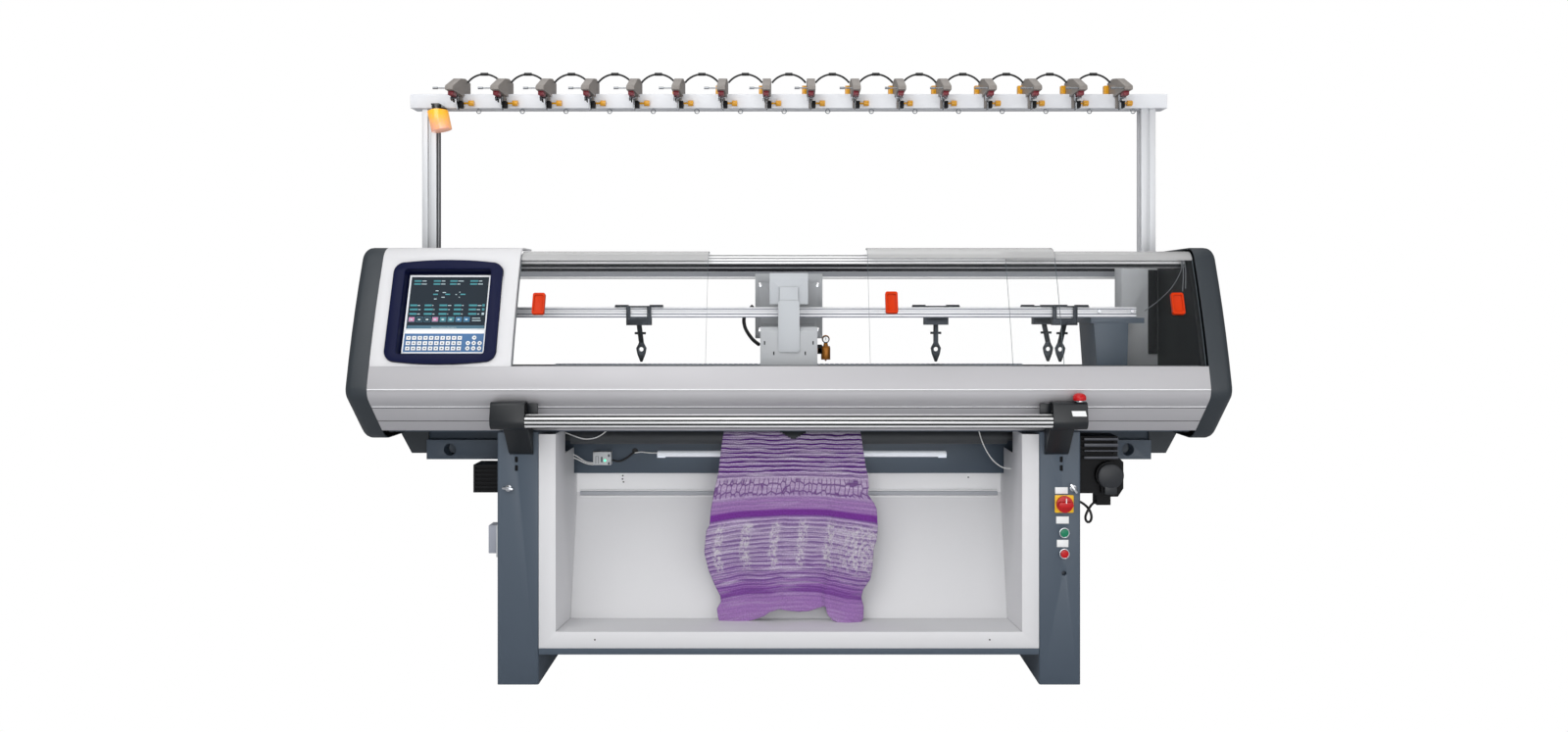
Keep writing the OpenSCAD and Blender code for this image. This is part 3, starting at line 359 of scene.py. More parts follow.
# the bar's bright colour is a painted highlight and its groove colour painted shade
barLook = {"bright": "#eceded", "groove": "#0c0d0e", "ribZ": 741.5, "pitchMm": 10.6}
lampLook = {"dark": "#1c1b1a", "amber": "#ffb52e", "pale": "#e9a58f", "glow": 0.35, "neckZ": 1.6385,
            "lowZ": 1.58}
trayLitWhite = painted("powderCoatTrayLit", "#fafafb", 0.48, 1.0, 0.04, 0.02)  # painted light: brighter white on the upright back and the beads
bracketPaint = painted("texturedPaintBracket", "#14181c", 0.38, 1.2, 0.06, gloss=0.45)  # dark, edges gleam
repaint("top_rails", brushed("anodisedRail", "#fafafb", 0, 0.8, 0.4, 0.03, 0.12))  # pale drawn rails
repaint("yarn_rails", groovedRail(railLook))
repaint("start_bar", ribbedBar(barLook))
repaint("signal_lamp", amberLens(lampLook))
repaint("left_bracket", bracketPaint)
repaint("right_bracket", bracketPaint)
repaint("carriage_bridge", painted("greyPaintPale", "#b9bdc1", 0.4, 0.9, 0.02, 0.02))  # pale moulded cover
repaint("posts", painted("anodisedPost", "#d9dbde", 0.38, 0.6, 0.01, 0.03, 0.15))  # pale satin extrusion
paintFaces("posts", painted("anodisedPostShadeSide", "#4a4d51", 0.45, 0.6, 0.01),  # painted shade on the inner side
           lambda face: face.center.x < 0 and face.normal.x > 0.5)
# painted light: the upright back of the tray is made brighter
paintFaces("catch_tray", trayLitWhite, lambda face: face.center.z > 0.487 and face.center.y > -0.05)
paintFaces("rail_columns", finishes["grey_powder_coat"],  # pedestals are slate, columns light grey
           lambda face: abs(face.center.x) < 1.005 and face.center.z < 1.0165)
print("stage: own finishes")


def startTree(name, inputs):
    tree = bpy.data.node_groups.new(name, "GeometryNodeTree")
    tree.interface.new_socket("Geometry", in_out="OUTPUT", socket_type="NodeSocketGeometry")
    for label, kind in inputs.items():
        tree.interface.new_socket(label, in_out="INPUT", socket_type="NodeSocket" + kind)
    return tree, addNode(tree, "NodeGroupInput").outputs


def endTree(tree, geometry, finish):
    dressed = addNode(tree, "GeometryNodeSetMaterial", links={"Geometry": geometry, "Material": finish})
    addNode(tree, "NodeGroupOutput", links={"Geometry": dressed.outputs["Geometry"]})
    return tree


def rowTree():
    tree, given = startTree("rowOfParts", {"Points": "Geometry", "Part": "Object", "Finish": "Material"})
    part = addNode(tree, "GeometryNodeObjectInfo", links={"Object": given["Part"]}).outputs["Geometry"]
    placed = addNode(tree, "GeometryNodeInstanceOnPoints",
                     links={"Points": given["Points"], "Instance": part})
    real = addNode(tree, "GeometryNodeRealizeInstances", links={"Geometry": placed.outputs["Instances"]})
    return endTree(tree, real.outputs["Geometry"], given["Finish"])


def tubeTree():
    tree, given = startTree("tubeAlongPath", {
        "Path": "Geometry", "Radius": "Float", "Spacing": "Float", "Finish": "Material"})
    line = addNode(tree, "GeometryNodeMeshToCurve", links={"Mesh": given["Path"]}).outputs["Curve"]
    spline = addNode(tree, "GeometryNodeCurveSplineType", links={"Curve": line}, spline_type="CATMULL_ROM")
    steps = addNode(tree, "GeometryNodeResampleCurve", mode="LENGTH",
                    links={"Curve": spline.outputs["Curve"], "Length": given["Spacing"]})
    ring = addNode(tree, "GeometryNodeCurvePrimitiveCircle", {"Resolution": 10}, {"Radius": given["Radius"]})
    tube = addNode(tree, "GeometryNodeCurveToMesh", {"Fill Caps": True},
                   {"Curve": steps.outputs["Curve"], "Profile Curve": ring.outputs["Curve"]})
    smooth = addNode(tree, "GeometryNodeSetShadeSmooth", links={"Geometry": tube.outputs["Mesh"]})
    return endTree(tree, smooth.outputs["Geometry"], given["Finish"])


partRow = rowTree()
pathTube = tubeTree()


def runTree(tree, points, edges, settings):
    host = bpy.data.meshes.new("host")
    host.from_pydata([Vector(p) * mm for p in points], edges, [])
    inputs = {item.identifier: settings[item.name] for item in tree.interface.items_tree
              if item.in_out == "INPUT" and item.name in settings}
    return modified(host, "NODES", {"node_group": tree}, inputs)


def repeatPart(name, partMesh, points, slotName, material=None, body="frame"):
    part = bpy.data.objects.new(name + "Part", partMesh)
    scene.collection.objects.link(part)
    material = material or finishes[slotName]
    mesh = runTree(partRow, points, [], {"Part": part, "Finish": material})
    bpy.data.objects.remove(part)
    return placePiece(name, smoothed(mesh), slotName, material, body)


def layTube(name, path, radiusMm, slotName, material, body, spacingMm=6):
    edges = [(i, i + 1) for i in range(len(path) - 1)]
    settings = {"Radius": radiusMm * mm, "Spacing": spacingMm * mm, "Finish": material}
    mesh = runTree(pathTube, path, edges, settings)
    return placePiece(name, mesh, slotName, material, body)


def facesOf(made):
    return {f for v in made["verts"] for f in v.link_faces}


def addBox(bm, low, high, edge=0.0):
    low, high = Vector(low), Vector(high)
    size = Matrix.Diagonal([*((high - low) * mm), 1])
    made = bmesh.ops.create_cube(bm, size=1, matrix=Matrix.Translation((low + high) * 0.5 * mm) @ size)
    faces = facesOf(made)
    if edge:
        edges = {e for f in faces for e in f.edges}
        faces = bmesh.ops.bevel(bm, geom=list(edges), offset=edge * mm, segments=2, affect="EDGES",
                                profile=0.5)["faces"]
    return faces


def addRod(bm, start, end, radius, radiusEnd=None, sides=20):
    a, b = Vector(start), Vector(end)
    turn = (b - a).to_track_quat("Z", "Y").to_matrix().to_4x4()
    return facesOf(bmesh.ops.create_cone(
        bm, cap_ends=True, segments=sides, radius1=radius * mm,
        radius2=(radius if radiusEnd is None else radiusEnd) * mm, depth=(b - a).length * mm,
        matrix=Matrix.Translation((a + b) * 0.5 * mm) @ turn))


def addSlab(bm, corners, depthMm):
    face = bm.faces.new([bm.verts.new(Vector(p) * mm) for p in corners])
    made = bmesh.ops.extrude_face_region(bm, geom=[face])["geom"]
    moved = [v for v in made if isinstance(v, bmesh.types.BMVert)]
    bmesh.ops.translate(bm, verts=moved, vec=(0, depthMm * mm, 0))


def boxPiece(name, boxes, slotName, material=None, edge=0.4, body="frame"):
    bm = bmesh.new()
    for low, high in boxes:
        addBox(bm, low, high, edge)
    return placePiece(name, finishMesh(bm), slotName, material, body)


def discPart(radius, height, sides=20):
    bm = bmesh.new()
    addRod(bm, (0, 0, 0), (0, -height, 0), radius, radius * 0.86, sides)
    return finishMesh(bm)


def onFront(pieceName, x, z, lift=0.0):
    spot = bpy.data.objects[pieceName].ray_cast(Vector((x, -900, z)) * mm, Vector((0, 1, 0)))[1]
    return (x, spot.y / mm - lift, z)


knitSetup = {  # knitting that hangs over the roller: outline, folds and rows follow the photograph
    "top": 872, "rows": 170, "columns": 100, "roller": (-121, 665, 21.6), "bed": (21, 704), "lift": 29,
    "sag": 24, "thick": 1.1, "looseZ": 610, "looseMm": 330, "fold": 9, "pleat": 12, "crease": 7,
    "chartWide": 0.45,
    "left": [(872, -186), (685, -190), (643, -197), (564, -206), (513, -218), (457, -228), (410, -232),
             (394, -242), (330, -248), (279, -236), (231, -216), (200, -200), (184, -199), (164, -211),
             (140, -208), (108, -198)],
    "right": [(872, 205), (685, 209), (647, 215), (580, 225), (552, 232), (524, 234), (500, 231), (477, 248),
              (457, 257), (398, 260), (370, 257), (338, 247), (291, 245), (255, 238), (223, 216), (200, 211),
              (176, 218), (140, 217), (105, 194)],
    "hem": [(0, 118), (0.03, 110), (0.09, 109), (0.17, 121), (0.27, 137), (0.32, 147), (0.36, 160),
            (0.42, 167), (0.5, 160), (0.56, 156), (0.63, 158), (0.74, 173), (0.755, 150), (0.79, 136),
            (0.88, 123), (0.96, 106), (1, 112)],
    "neck": {"x": 13, "tip": 660, "slope": 1.75, "half": 62},
}
knitLook = {  # each list gives a share of the way down, with a colour or a strength
    "length": 0.8, "stripe": "#55207a", "pale": "#e4dbea", "cable": "#64357f", "lace": "#cfcad0",
    "edgePale": "#c3c0ca", "edgeDark": "#33263f",
    "ground": [(0.0, "#cab6d6"), (0.255, "#d0bedb"), (0.4, "#c8b2d4"), (0.45, "#c4b0ce"),
               (0.505, "#b59cc4"), (0.515, "#a680b9"), (0.55, "#a47cb7"), (0.556, "#763294"),
               (0.575, "#793696"), (0.582, "#b49bc4"), (0.62, "#b9a8c5"), (0.72, "#b3a0c1"),
               (0.78, "#a98cba"), (0.83, "#9566ad"), (0.85, "#7a4496"), (0.86, "#9c72b2"), (0.95, "#a47bb8")],
    "stripeZone": [(0.0, 1.0), (0.42, 1.0), (0.45, 0.1), (0.51, 0.25), (0.54, 0.3), (0.56, 0.0), (0.585, 0.7),
                   (0.64, 0.7), (0.74, 0.75), (0.8, 0.75), (0.86, 0.35), (0.88, 0.12)],
    "paleZone": [(0.0, 0.5), (0.45, 0.5), (0.54, 0.25), (0.555, 0.0), (0.58, 0.0), (0.59, 0.6), (0.8, 0.6),
                 (0.84, 0.2), (1, 0.15)],
    "cableZone": [(0.437, 0.0), (0.445, 0.85), (0.5, 0.85), (0.507, 0.0)],
    "laceZone": [(0.585, 0.0), (0.61, 0.9), (0.74, 0.9), (0.78, 0.0)],
}


def along(table, value):
    ordered = sorted(table)
    for (a, p), (b, q) in zip(ordered, ordered[1:]):
        if value <= b:
            return p + (q - p) * max(0.0, value - a) / (b - a)
    return ordered[-1][1]


def smoothStep(low, high, value):
    t = min(1, max(0, (value - low) / (high - low)))
    return t * t * (3 - 2 * t)


def stripedKnit(look):
    material, tree, shader, place = startMaterial("spaceDyedKnit", {
        "Roughness": 0.85, "Sheen Weight": 0.25, "Specular IOR Level": 0.2})
    chart = addNode(tree, "ShaderNodeUVMap", uv_map="rows").outputs["UV"]
    split = addNode(tree, "ShaderNodeSeparateXYZ", links={"Vector": chart})
    across, share = split.outputs["X"], mathNode(tree, "DIVIDE", split.outputs["Y"], look["length"])

    def ramp(key):
        node = addNode(tree, "ShaderNodeValToRGB", links={"Fac": share})
        points, stops = node.color_ramp.elements, look[key]
        while len(points) < len(stops):
            points.new(0.5)
        for point, (spot, color) in zip(points, stops):
            point.position = spot
            point.color = hexColor(color) if isinstance(color, str) else (color, color, color, 1)
        return node.outputs["Color"]

    def wave(direction, periodMm, distortion):
        values = {"Scale": 314.16 / periodMm, "Distortion": distortion, "Detail": 2.0, "Detail Scale": 0.6}
        return addNode(tree, "ShaderNodeTexWave", values, {"Vector": chart}, wave_type="BANDS",
                       bands_direction=direction).outputs["Fac"]

    def both(first, second):
        return mathNode(tree, "MULTIPLY", first, second)

    def laid(color, mask, key):
        return mixColor(tree, mask, color, hexColor(look[key]))

    noise = noiseNode(tree, stretched(tree, chart, (7, 95, 1)), 1.0, 4.0)
    bold = ranged(tree, wave("Y", 13, 2.8), 0, 1, 0.5, 0.75)
    thin = mathNode(tree, "MAXIMUM", bold, ranged(tree, wave("Y", 6.6, 3.4), 0, 0.7, 0.55, 0.85))
    color = laid(ramp("ground"), both(thin, ramp("stripeZone")), "stripe")
    color = laid(color, both(ranged(tree, noise, 0, 1, 0.5, 0.72), ramp("paleZone")), "pale")
    stitches = {"Vector": stretched(tree, chart, (76, 40, 1))}
    cells = addNode(tree, "ShaderNodeTexVoronoi", {"Scale": 1.0, "Randomness": 0.5}, stitches,
                    feature="DISTANCE_TO_EDGE").outputs["Distance"]
    color = laid(color, both(ranged(tree, cells, 1, 0, 0.03, 0.15), ramp("cableZone")), "cable")
    topEdge = both(ranged(tree, share, 1, 0, 0.25, 0.32), ranged(tree, across, 0, 0.85, 0.2, 0.27))
    color = mixColor(tree, topEdge, color, laid(hexColor(look["edgePale"]), bold, "edgeDark"))
    blotch = noiseNode(tree, stretched(tree, chart, (120, 75, 1)), 1.0, 5.0, 0.75)
    laceArea = mathNode(tree, "MAXIMUM", ranged(tree, wave("X", 72, 1.5), 0, 1, 0.6, 0.95),
                        ranged(tree, across, 0, 0.8, 0.33, 0.38))
    lace = both(both(laceArea, ranged(tree, blotch, 0, 1, 0.47, 0.56)), ramp("laceZone"))
    grain = ranged(tree, noiseNode(tree, chart, 260.0), 0.78, 1.16)
    loops = mathNode(tree, "ADD", wave("X", 3.2, 0.4), wave("Y", 2.6, 0.4))
    relief = mathNode(tree, "MULTIPLY_ADD", loops, 0.35, mathNode(tree, "ADD", thin, noise))
    feed(tree, shader, {"Base Color": mixColor(tree, 1.0, laid(color, lace, "lace"), grain, "MULTIPLY"),
                        "Normal": bumped(tree, relief, 0.7, 1.2)})
    return material  # soft striped wool with a cable band and pale lace


def knitDepth(setup, z):
    y, height, radius = setup["roller"]
    lean, bedZ = setup["bed"]
    if z > height + radius:
        return y + lean * smoothStep(height + radius - 2, bedZ, z)
    return y - math.sqrt(radius ** 2 - max(0, z - height) ** 2)


def makeKnit(setup):
    bm = bmesh.new()
    chart = bm.loops.layers.uv.new("rows")
    grid, spots = [], {}
    for r in range(setup["rows"] + 1):
        line = []
        for c in range(setup["columns"] + 1):
            u, v = c / setup["columns"], r / setup["rows"]
            z = setup["top"] + v * (along(setup["hem"], u) - setup["top"])
            left, right = along(setup["left"], z), along(setup["right"], z)
            loose = min(1.0, max(0.0, (setup["looseZ"] - z) / setup["looseMm"]))
            y = knitDepth(setup, z)
            folds = math.sin(11.5 * u + 0.6) + 0.55 * math.sin(23 * u + 1.9 + z * 0.004)
            y += setup["fold"] * loose * folds
            y -= setup["pleat"] * loose * smoothStep(0.715, 0.745, u) * (1 - 0.5 * smoothStep(0.8, 1.0, u))
            y -= setup["crease"] * loose * (smoothStep(0.44, 0.47, u) - smoothStep(0.5, 0.62, u))
            sag = setup["sag"] * min(1, loose * 1.6) * (2 * u - 1) ** 2
            vert = bm.verts.new(Vector((left + (right - left) * u, y, z)) * mm)
            spots[vert] = (u * setup["chartWide"], (setup["top"] + setup["lift"] - z - sag) * mm)
            line.append(vert)
        grid.append(line)
    neck = setup["neck"]
    for r in range(setup["rows"]):
        for c in range(setup["columns"]):
            corners = [grid[r][c], grid[r + 1][c], grid[r + 1][c + 1], grid[r][c + 1]]
            mid = sum((v.co for v in corners), Vector()) / 4 / mm
            gap = min(neck["half"], (mid.z - neck["tip"]) * neck["slope"])
            if mid.z > neck["tip"] and abs(mid.x - neck["x"]) < gap:
                continue
            for loop in bm.faces.new(corners).loops:
                loop[chart].uv = spots[loop.vert]
    bmesh.ops.delete(bm, geom=[v for v in bm.verts if not v.link_faces], context="VERTS")
    bmesh.ops.recalc_face_normals(bm, faces=bm.faces)
    area = sum(f.calc_area() for f in bm.faces)
    result = modified(meshFrom(bm), "SOLIDIFY", {"thickness": setup["thick"] * mm, "offset": 0})
    result.polygons.foreach_set("use_smooth", [True] * len(result.polygons))
    return result, area


knitMesh, knitArea = makeKnit(knitSetup)
knit = placePiece("knit_cloth", knitMesh, "purple_knit", stripedKnit(knitLook), "frame", ("knitted_panel",))
print("stage: knit, area", round(knitArea, 4))

screenSetup = {  # dark screen with generic fields and no words, over a blue keypad
    "middle": (-945.5, 1034), "top": -22, "window": 1.5, "screen": (-108, -47, 108, 108.5),
    "headRows": {95: (20, 20, 20, 22), 86: (19, 19, 18, 20)}, "headX": (-100, -46, 0, 56),
    "map": [(-44, 56, 13, 1), (-10, 56, 13, 1), (32, 56, 14, 1), (-38, 67, 8, 2), (-18, 62, 9, 2),
            (-20, 48, 9, 2), (-40, 43, 7, 2), (18, 56, 4, 2), (28, 63, 3, 2), (28, 48, 3, 2)],
    "listY": (23, 11, -2), "listX": (-104, -64, -23, 18, 59),
    "icons": (3, 0, 0, 3, 1, 1, 4, 4), "iconPitch": 21.7,
    "bars": [(71, -13, 22, 2.2, 2), (71, -20, 24, 2.2, 2), (-106, -45, 212, 12, 5), (-40, -40, 70, 2.4, 2)],
    "blue": (-109, -110, 109, -57), "foil": 1.45, "keyRise": 1.1, "keyRows": (-105, -90, -75),
    "keyPitch": 15.6, "keyCount": 10,
    "arrows": [(83, -69), (67, -84.5), (83, -84.5), (99, -84.5), (83, -99.5), (67, -99.5), (99, -99.5)],
    "strips": [(-112.8, 108.7, 112.8, 113.3), (-112.8, -57.3, 112.8, -47.2), (-112.8, -113.3, 112.8, -109.7),
               (-112.8, -113.3, -108.6, 113.3), (108.6, -113.3, 112.8, 113.3)],
}
screenPalette = [
    glowing("screenGlassDark", "#1b252e", 0.3, 0.2, 0.05, 0.08),  # dark lit screen
    glowing("screenFieldTeal", "#3a858e", 0.25, 0.3),  # teal name fields
    glowing("screenFieldPale", "#a9bcc2", 0.35, 0.3),  # pale values beside them
    glowing("screenIconPink", "#cf7fa6", 0.4, 0.3),  # pink icons
    glowing("screenIconBlue", "#2f6f9c", 0.35, 0.3),  # blue icons
    glowing("screenBar", "#3d6173", 0.3, 0.3),  # status bar
    painted("keypadFoilBlue", "#155f97", 0.35, 0.6, 0.01),  # printed keypad foil
    painted("keyCapWhite", "#eceef0", 0.4, 0.6, 0.01, 0.02),  # raised white keys
    painted("keyMarkDark", "#3b4650", 0.5, 0.6, 0.01),  # plain marks on the keys
    glowing("panelFramePaintedGlow", "#e6e8eb", 0.22, 0.4, 0.02),  # white strip round the screen, glowing as painted light
]
consoleFace = {"low": (0, -392.6, 840.4), "high": (0, -277.4, 1182.0), "normal": (0, -0.9475, 0.3198),
               "bulge": 28}


def onConsole(x, z):
    low, high, out = (Vector(consoleFace[key]) for key in ("low", "high", "normal"))
    t = (z - low.z) / (high.z - low.z)
    spot = low.lerp(high, t) + out * (consoleFace["bulge"] * t * (1 - t))
    turn = Matrix(((1, 0, 0), (0, out.z, out.y), (0, -out.y, out.z))).to_4x4()
    return Matrix.Translation(Vector((x, spot.y, spot.z)) * mm) @ turn


def makeScreen(setup):
    random.seed(7)
    bm = bmesh.new()
    top = setup["top"]
    glass = top - setup["window"]
    lit, high = glass + 0.7, top + setup["foil"] + setup["keyRise"]

    def tile(x0, y0, x1, y1, z0, z1, index):
        for face in addBox(bm, (x0, y0, z0), (x1, y1, z1)):
            face.material_index = index

    def field(x, y, w, h, index):
        tile(x, y, x + w, y + h, glass + 0.4, lit, index)

    tile(*setup["screen"], glass, glass + 0.5, 0)
    for y, widths in setup["headRows"].items():
        for x, w in zip(setup["headX"], widths):
            field(x, y, w, 4.2, 1)
            field(x + w + 2, y + 0.9, random.uniform(8, 19), 2.2, 2)
    for x, y, w, index in setup["map"]:
        field(x, y, w, 3.4 if index == 1 else 2.2, index)
    for row, y in enumerate(setup["listY"]):
        for x in setup["listX"]:
            w = random.uniform(19, 24)
            field(x, y, w, 5, 1)
            field(x + w + 2, y + 1, random.uniform(2, 11), 2.2, 2)
        field(96, y - 0.5, 6.5, 6.5, 1 if row < 2 else 2)
    for i, index in enumerate(setup["icons"]):
        x = -105 + i * setup["iconPitch"]
        field(x, -23, 18, 15, 5)
        field(x + 1.4, -21.6, 15.2, 12.2, index)
        tile(x + 5, -18, x + 12, -13.5, lit, lit + 0.15, 2)
    for bar in setup["bars"]:
        field(*bar)
    tile(*setup["blue"], top - 0.4, top + setup["foil"], 6)
    for y in setup["keyRows"]:
        for i in range(setup["keyCount"]):
            x = -103 + i * setup["keyPitch"]
            tile(x, y, x + 11.6, y + 10.4, top, high, 7)
            tile(x + 3.6, y + 3.6, x + 8, y + 6.8, high - 0.1, high + 0.12, 8)
    for x, y in setup["arrows"]:
        for face in addRod(bm, (x, y, top), (x, y, high), 6.2, 5.8, 24):
            face.material_index = 7
        tile(x - 1.8, y - 1.8, x + 1.8, y + 1.8, high - 0.1, high + 0.12, 8)
    for strip in setup["strips"]:
        tile(*strip, top - 0.3, top + 1.4, 9)
    mesh = meshFrom(bm)
    mesh.transform(onConsole(*setup["middle"]))
    for material in screenPalette:
        mesh.materials.append(material)
    return mesh


placePiece("console_screen", makeScreen(screenSetup), "display_panel")
print("stage: console screen")

doorSetup = {"names": ("left_door", "middle_door", "right_door"), "bendZ": 1.176, "sillZ": 0.8895}


def clearSheet(name, code, alpha, roughness):
    color = hexColor(code)
    material, tree, shader, place = startMaterial(name, {"IOR": 1.49})
    cloud = noiseNode(tree, place, 4.0)
    feed(tree, shader, {"Base Color": mixColor(tree, cloud, shade(color, 0.97), color),
                        "Roughness": ranged(tree, cloud, roughness, roughness + 0.04),
                        "Alpha": ranged(tree, cloud, alpha * 0.9, alpha * 1.1)})
    return material


doorPalette = [
    clearSheet("acrylicClearFace", "#dfe8ea", 0.009, 0.05),  # see-through sheet
    clearSheet("acrylicCutEdge", "#6f7a80", 0.9, 0.15),  # cut edges look grey-green
    clearSheet("acrylicBentTop", "#c9c9c9", 0.62, 0.2),  # the bent top looks grey
]
for name in doorSetup["names"]:
    mesh = softened(name, 0.6, 1)
    for material in doorPalette:
        mesh.materials.append(material)
    for face in mesh.polygons:
        cut = abs(face.normal.x) > 0.5 or (face.center.z < doorSetup["sillZ"] and abs(face.normal.z) > 0.9)
        face.material_index = 1 if cut else (2 if face.center.z > doorSetup["bendZ"] else 0)
    placePiece(name + "_sheet", mesh, "clear_acrylic", None, bodyOf[name], (name,))
print("stage: doors")

leadSetup = {  # each lead goes from the machine back into it: jacket, radius and measured points
    "apron_wire_left": ("pale", 1.7, [(-690, -146, 694), (-662, -150, 686), (-632, -150, 674),
        (-600, -150, 664), (-570, -150, 665), (-545, -150, 676), (-522, -148, 696)]),
    "apron_wire_right": ("pale", 1.7, [(652, -148, 576), (624, -150, 580), (598, -150, 598), (578, -150, 625),
        (563, -150, 657), (552, -148, 694)]),
    "lamp_feed_upper": ("pale", 1.7, [(-700, -62, 617), (-668, -54, 612), (-640, -50, 600), (-612, -47, 582),
        (-588, -44, 577)]),
    "lamp_feed_lower": ("pale", 1.7, [(-702, -60, 604), (-668, -54, 601), (-640, -50, 591), (-612, -47, 577),
        (-588, -44, 572)]),
    "lamp_tail": ("pale", 1.7, [(-467, -24, 605), (-448, -27, 608), (-420, -30, 606), (-392, -34, 606)]),
    "lamp_lead": ("black", 3.0, [(-534, -36, 585), (-514, -34, 581), (-494, -28, 588), (-478, -24, 600),
        (-467, -21, 610)]),
    "motor_lead": ("black", 3.6, [(896, -160, 486), (876, -174, 476), (862, -180, 458), (856, -180, 440),
        (862, -176, 427), (873, -170, 427), (878, -165, 441), (872, -161, 460), (856, -158, 476),
        (836, -156, 486)]),
    "carriage_lead": ("black", 5.6, [(-111, 30, 1051), (-136, 20, 1020), (-134, 4, 985), (-112, -28, 952),
        (-90, -60, 935)]),
    "sensor_lead": ("grey", 1.3, [(1037, -150, 1036), (1066, -190, 1068), (1090, -226, 1105),
        (1106, -250, 1150), (1106, -255, 1188)]),
    "sensor_wire_left": ("grey", 1.3, [(1108, -250, 1190), (1111, -256, 1150), (1107, -262, 1092)]),
    "sensor_wire_right": ("grey", 1.3, [(1114, -252, 1190), (1117, -258, 1150), (1115, -262, 1100)]),
}
jackets = {
    "pale": ("box_plastic", painted("jacketWhite", "#e6e6e4", 0.45, 0.8, 0.02, 0.04)),  # soft white wire
    "black": ("cable_rubber", finishes["cable_rubber"]),
    "grey": ("cable_rubber", painted("jacketGrey", "#6c6f73", 0.5, 0.8, 0.02)),  # thin grey sensor wires
}


def smoothPath(points, steps=8):
    spots = [Vector(p) for p in points]
    spots = [spots[0] * 2 - spots[1]] + spots + [spots[-1] * 2 - spots[-2]]
    line = []
    for a, b, c, d in zip(spots, spots[1:], spots[2:], spots[3:]):
        for t in (i / steps for i in range(steps)):
            square, cube = 2 * a - 5 * b + 4 * c - d, 3 * b - a - 3 * c + d
            line.append(0.5 * (2 * b + (c - a) * t + square * t ** 2 + cube * t ** 3))
    return line + [spots[-2]]


for name, (kind, radius, points) in leadSetup.items():
    line = smoothPath(points)
    body = "carriage" if name == "carriage_lead" else "frame"
    lead = layTube(name, line, radius, *jackets[kind], body)
print("stage: leads,", len(leadSetup))

plateWhite = painted("plateWhite", "#eceded", 0.35, 0.8, 0.005, 0.02)  # blank printed plates
plateMark = painted("plateMark", "#5b6066", 0.5, 0.8, 0.005)  # dark sockets and marks
foldShadeGrey = painted("powderCoatFoldShade", "#b3b6bc", 0.48, 1.0, 0.04, 0.02)  # painted shade on the fold across the tray
coverGrey = painted("matPlasticCover", "#a9adb8", 0.5, 0.8, spread=0.03)  # cool grey cover on the leg's box
motorFinHighlight = painted("castPaintFinHighlight", "#4c4f57", 0.35, 1.0, 0.02)  # painted highlights in grey on the fins of the black castings
motorCap = painted("mouldedCapBlack", "#212429", 0.42, 1.0)  # dark moulded cap
railShadeSillLine = painted("paintShadeAndSillLine", "#111318", 0.6, 0.8, 0.01, gloss=0.2)  # painted shade under the rails, and a dark line at the sill
railShadeGrey = painted("paintRailShadeGrey", "#8b8e94", 0.5, 0.8, 0.01)  # painted shade in grey on the face of the rear rail
ledGreen = glowing("ledGreen", "#3ff0a0", 2.2)  # small lit green dot
maroon = painted("plasticMaroon", "#7c1626", 0.35, 0.8, 0.02, 0.1)  # dark red sensor covers
beadHighlightPaint = painted("silverPaintHighlight", "#f6f7f9", 0.35, 0.5, 0.01, 0.02)  # painted highlight: bright bead lines

boxFittings = {  # slot, finish, edge and the corners of each box
    "control_plates": ("box_plastic", plateWhite, 0.3, [
        ((739, -301, 530), (774, -299.8, 548)), ((742, -301, 447), (777, -299.8, 467)),
        ((744, -301, 382), (776, -299.8, 402))]),
    # the grey fold is painted shade
    "tray_fold": ("white_powder_coat", foldShadeGrey, 2.0, [((-636, -8, 474), (636, 1, 486))]),
    # bright beads are painted highlights above and below the fold
    "tray_bead": ("white_powder_coat", trayLitWhite, 1.5, [
        ((-636, -9, 487), (636, 1, 491)), ((-636, -9, 468.5), (636, 1, 473))]),
    "column_ducts": ("black_plate", None, 1.0, [
        ((1090, -27, 905), (1117, -20.2, 1160)), ((-1117, -27, 905), (-1090, -20.2, 1160))]),
    "lamp_box_marks": ("box_plastic", plateMark, 0.0, [
        ((x0, -46.8, z0), (x1, -45.8, z1)) for x0, z0, x1, z1 in (
            (-582, 576, -580.8, 598), (-574, 576, -572.8, 598), (-582, 597, -573, 598),
            (-566, 580, -561, 596), (-545, 596, -539, 604), (-545, 572, -539, 580))]),
    "leg_box_cover": ("box_plastic", coverGrey, 1.5, [((-862, -199, 341), (-839.5, -150, 421))]),
    "hood_wings": ("charcoal_plastic", bracketPaint, 2.0, [
        ((674, -398, 757), (703.5, -391, 790)), ((-703.5, -398, 757), (-674, -391, 790))]),
    # black plugs are painted shade inside the leg slots
    "slot_plugs": ("black_plate", None, 0.0, [
        ((x - 4.3, -297, z - 8), (x + 4.3, -288, z + 8)) for x in (-756.5, 756.5) for z in (601, 625)]),
    # grey bars are painted highlights on the motor's fins
    "motor_bars": ("motor_black", motorFinHighlight, 1.2, [
        ((846, -206.5, low), (944, -202, high))
        for low, high in ((666, 673), (648, 657), (634, 638), (613, 620))]),
    "motor_stem": ("motor_black", motorCap, 1.0, [((905, -207, 511), (939, -203, 536))]),
    # dark strips of painted shade under the rails, and a dark line at the sill
    "rail_joint": ("black_plate", railShadeSillLine, 0.0, [
        ((-1119, -241, 1160.4), (1119, -239.9, 1169)), ((-1119, 149, 1160), (1119, 150.1, 1176)),
        ((-780, -343, 884.2), (1117, -339, 889))]),
    # painted shade on the rear rail's face
    "rail_shade": ("bright_aluminium", railShadeGrey, 0.0, [((-1119, 149, 1144), (1119, 150.1, 1159.5))]),
}
for name, (slotName, material, edge, boxes) in boxFittings.items():
    boxPiece(name, boxes, slotName, material, edge)
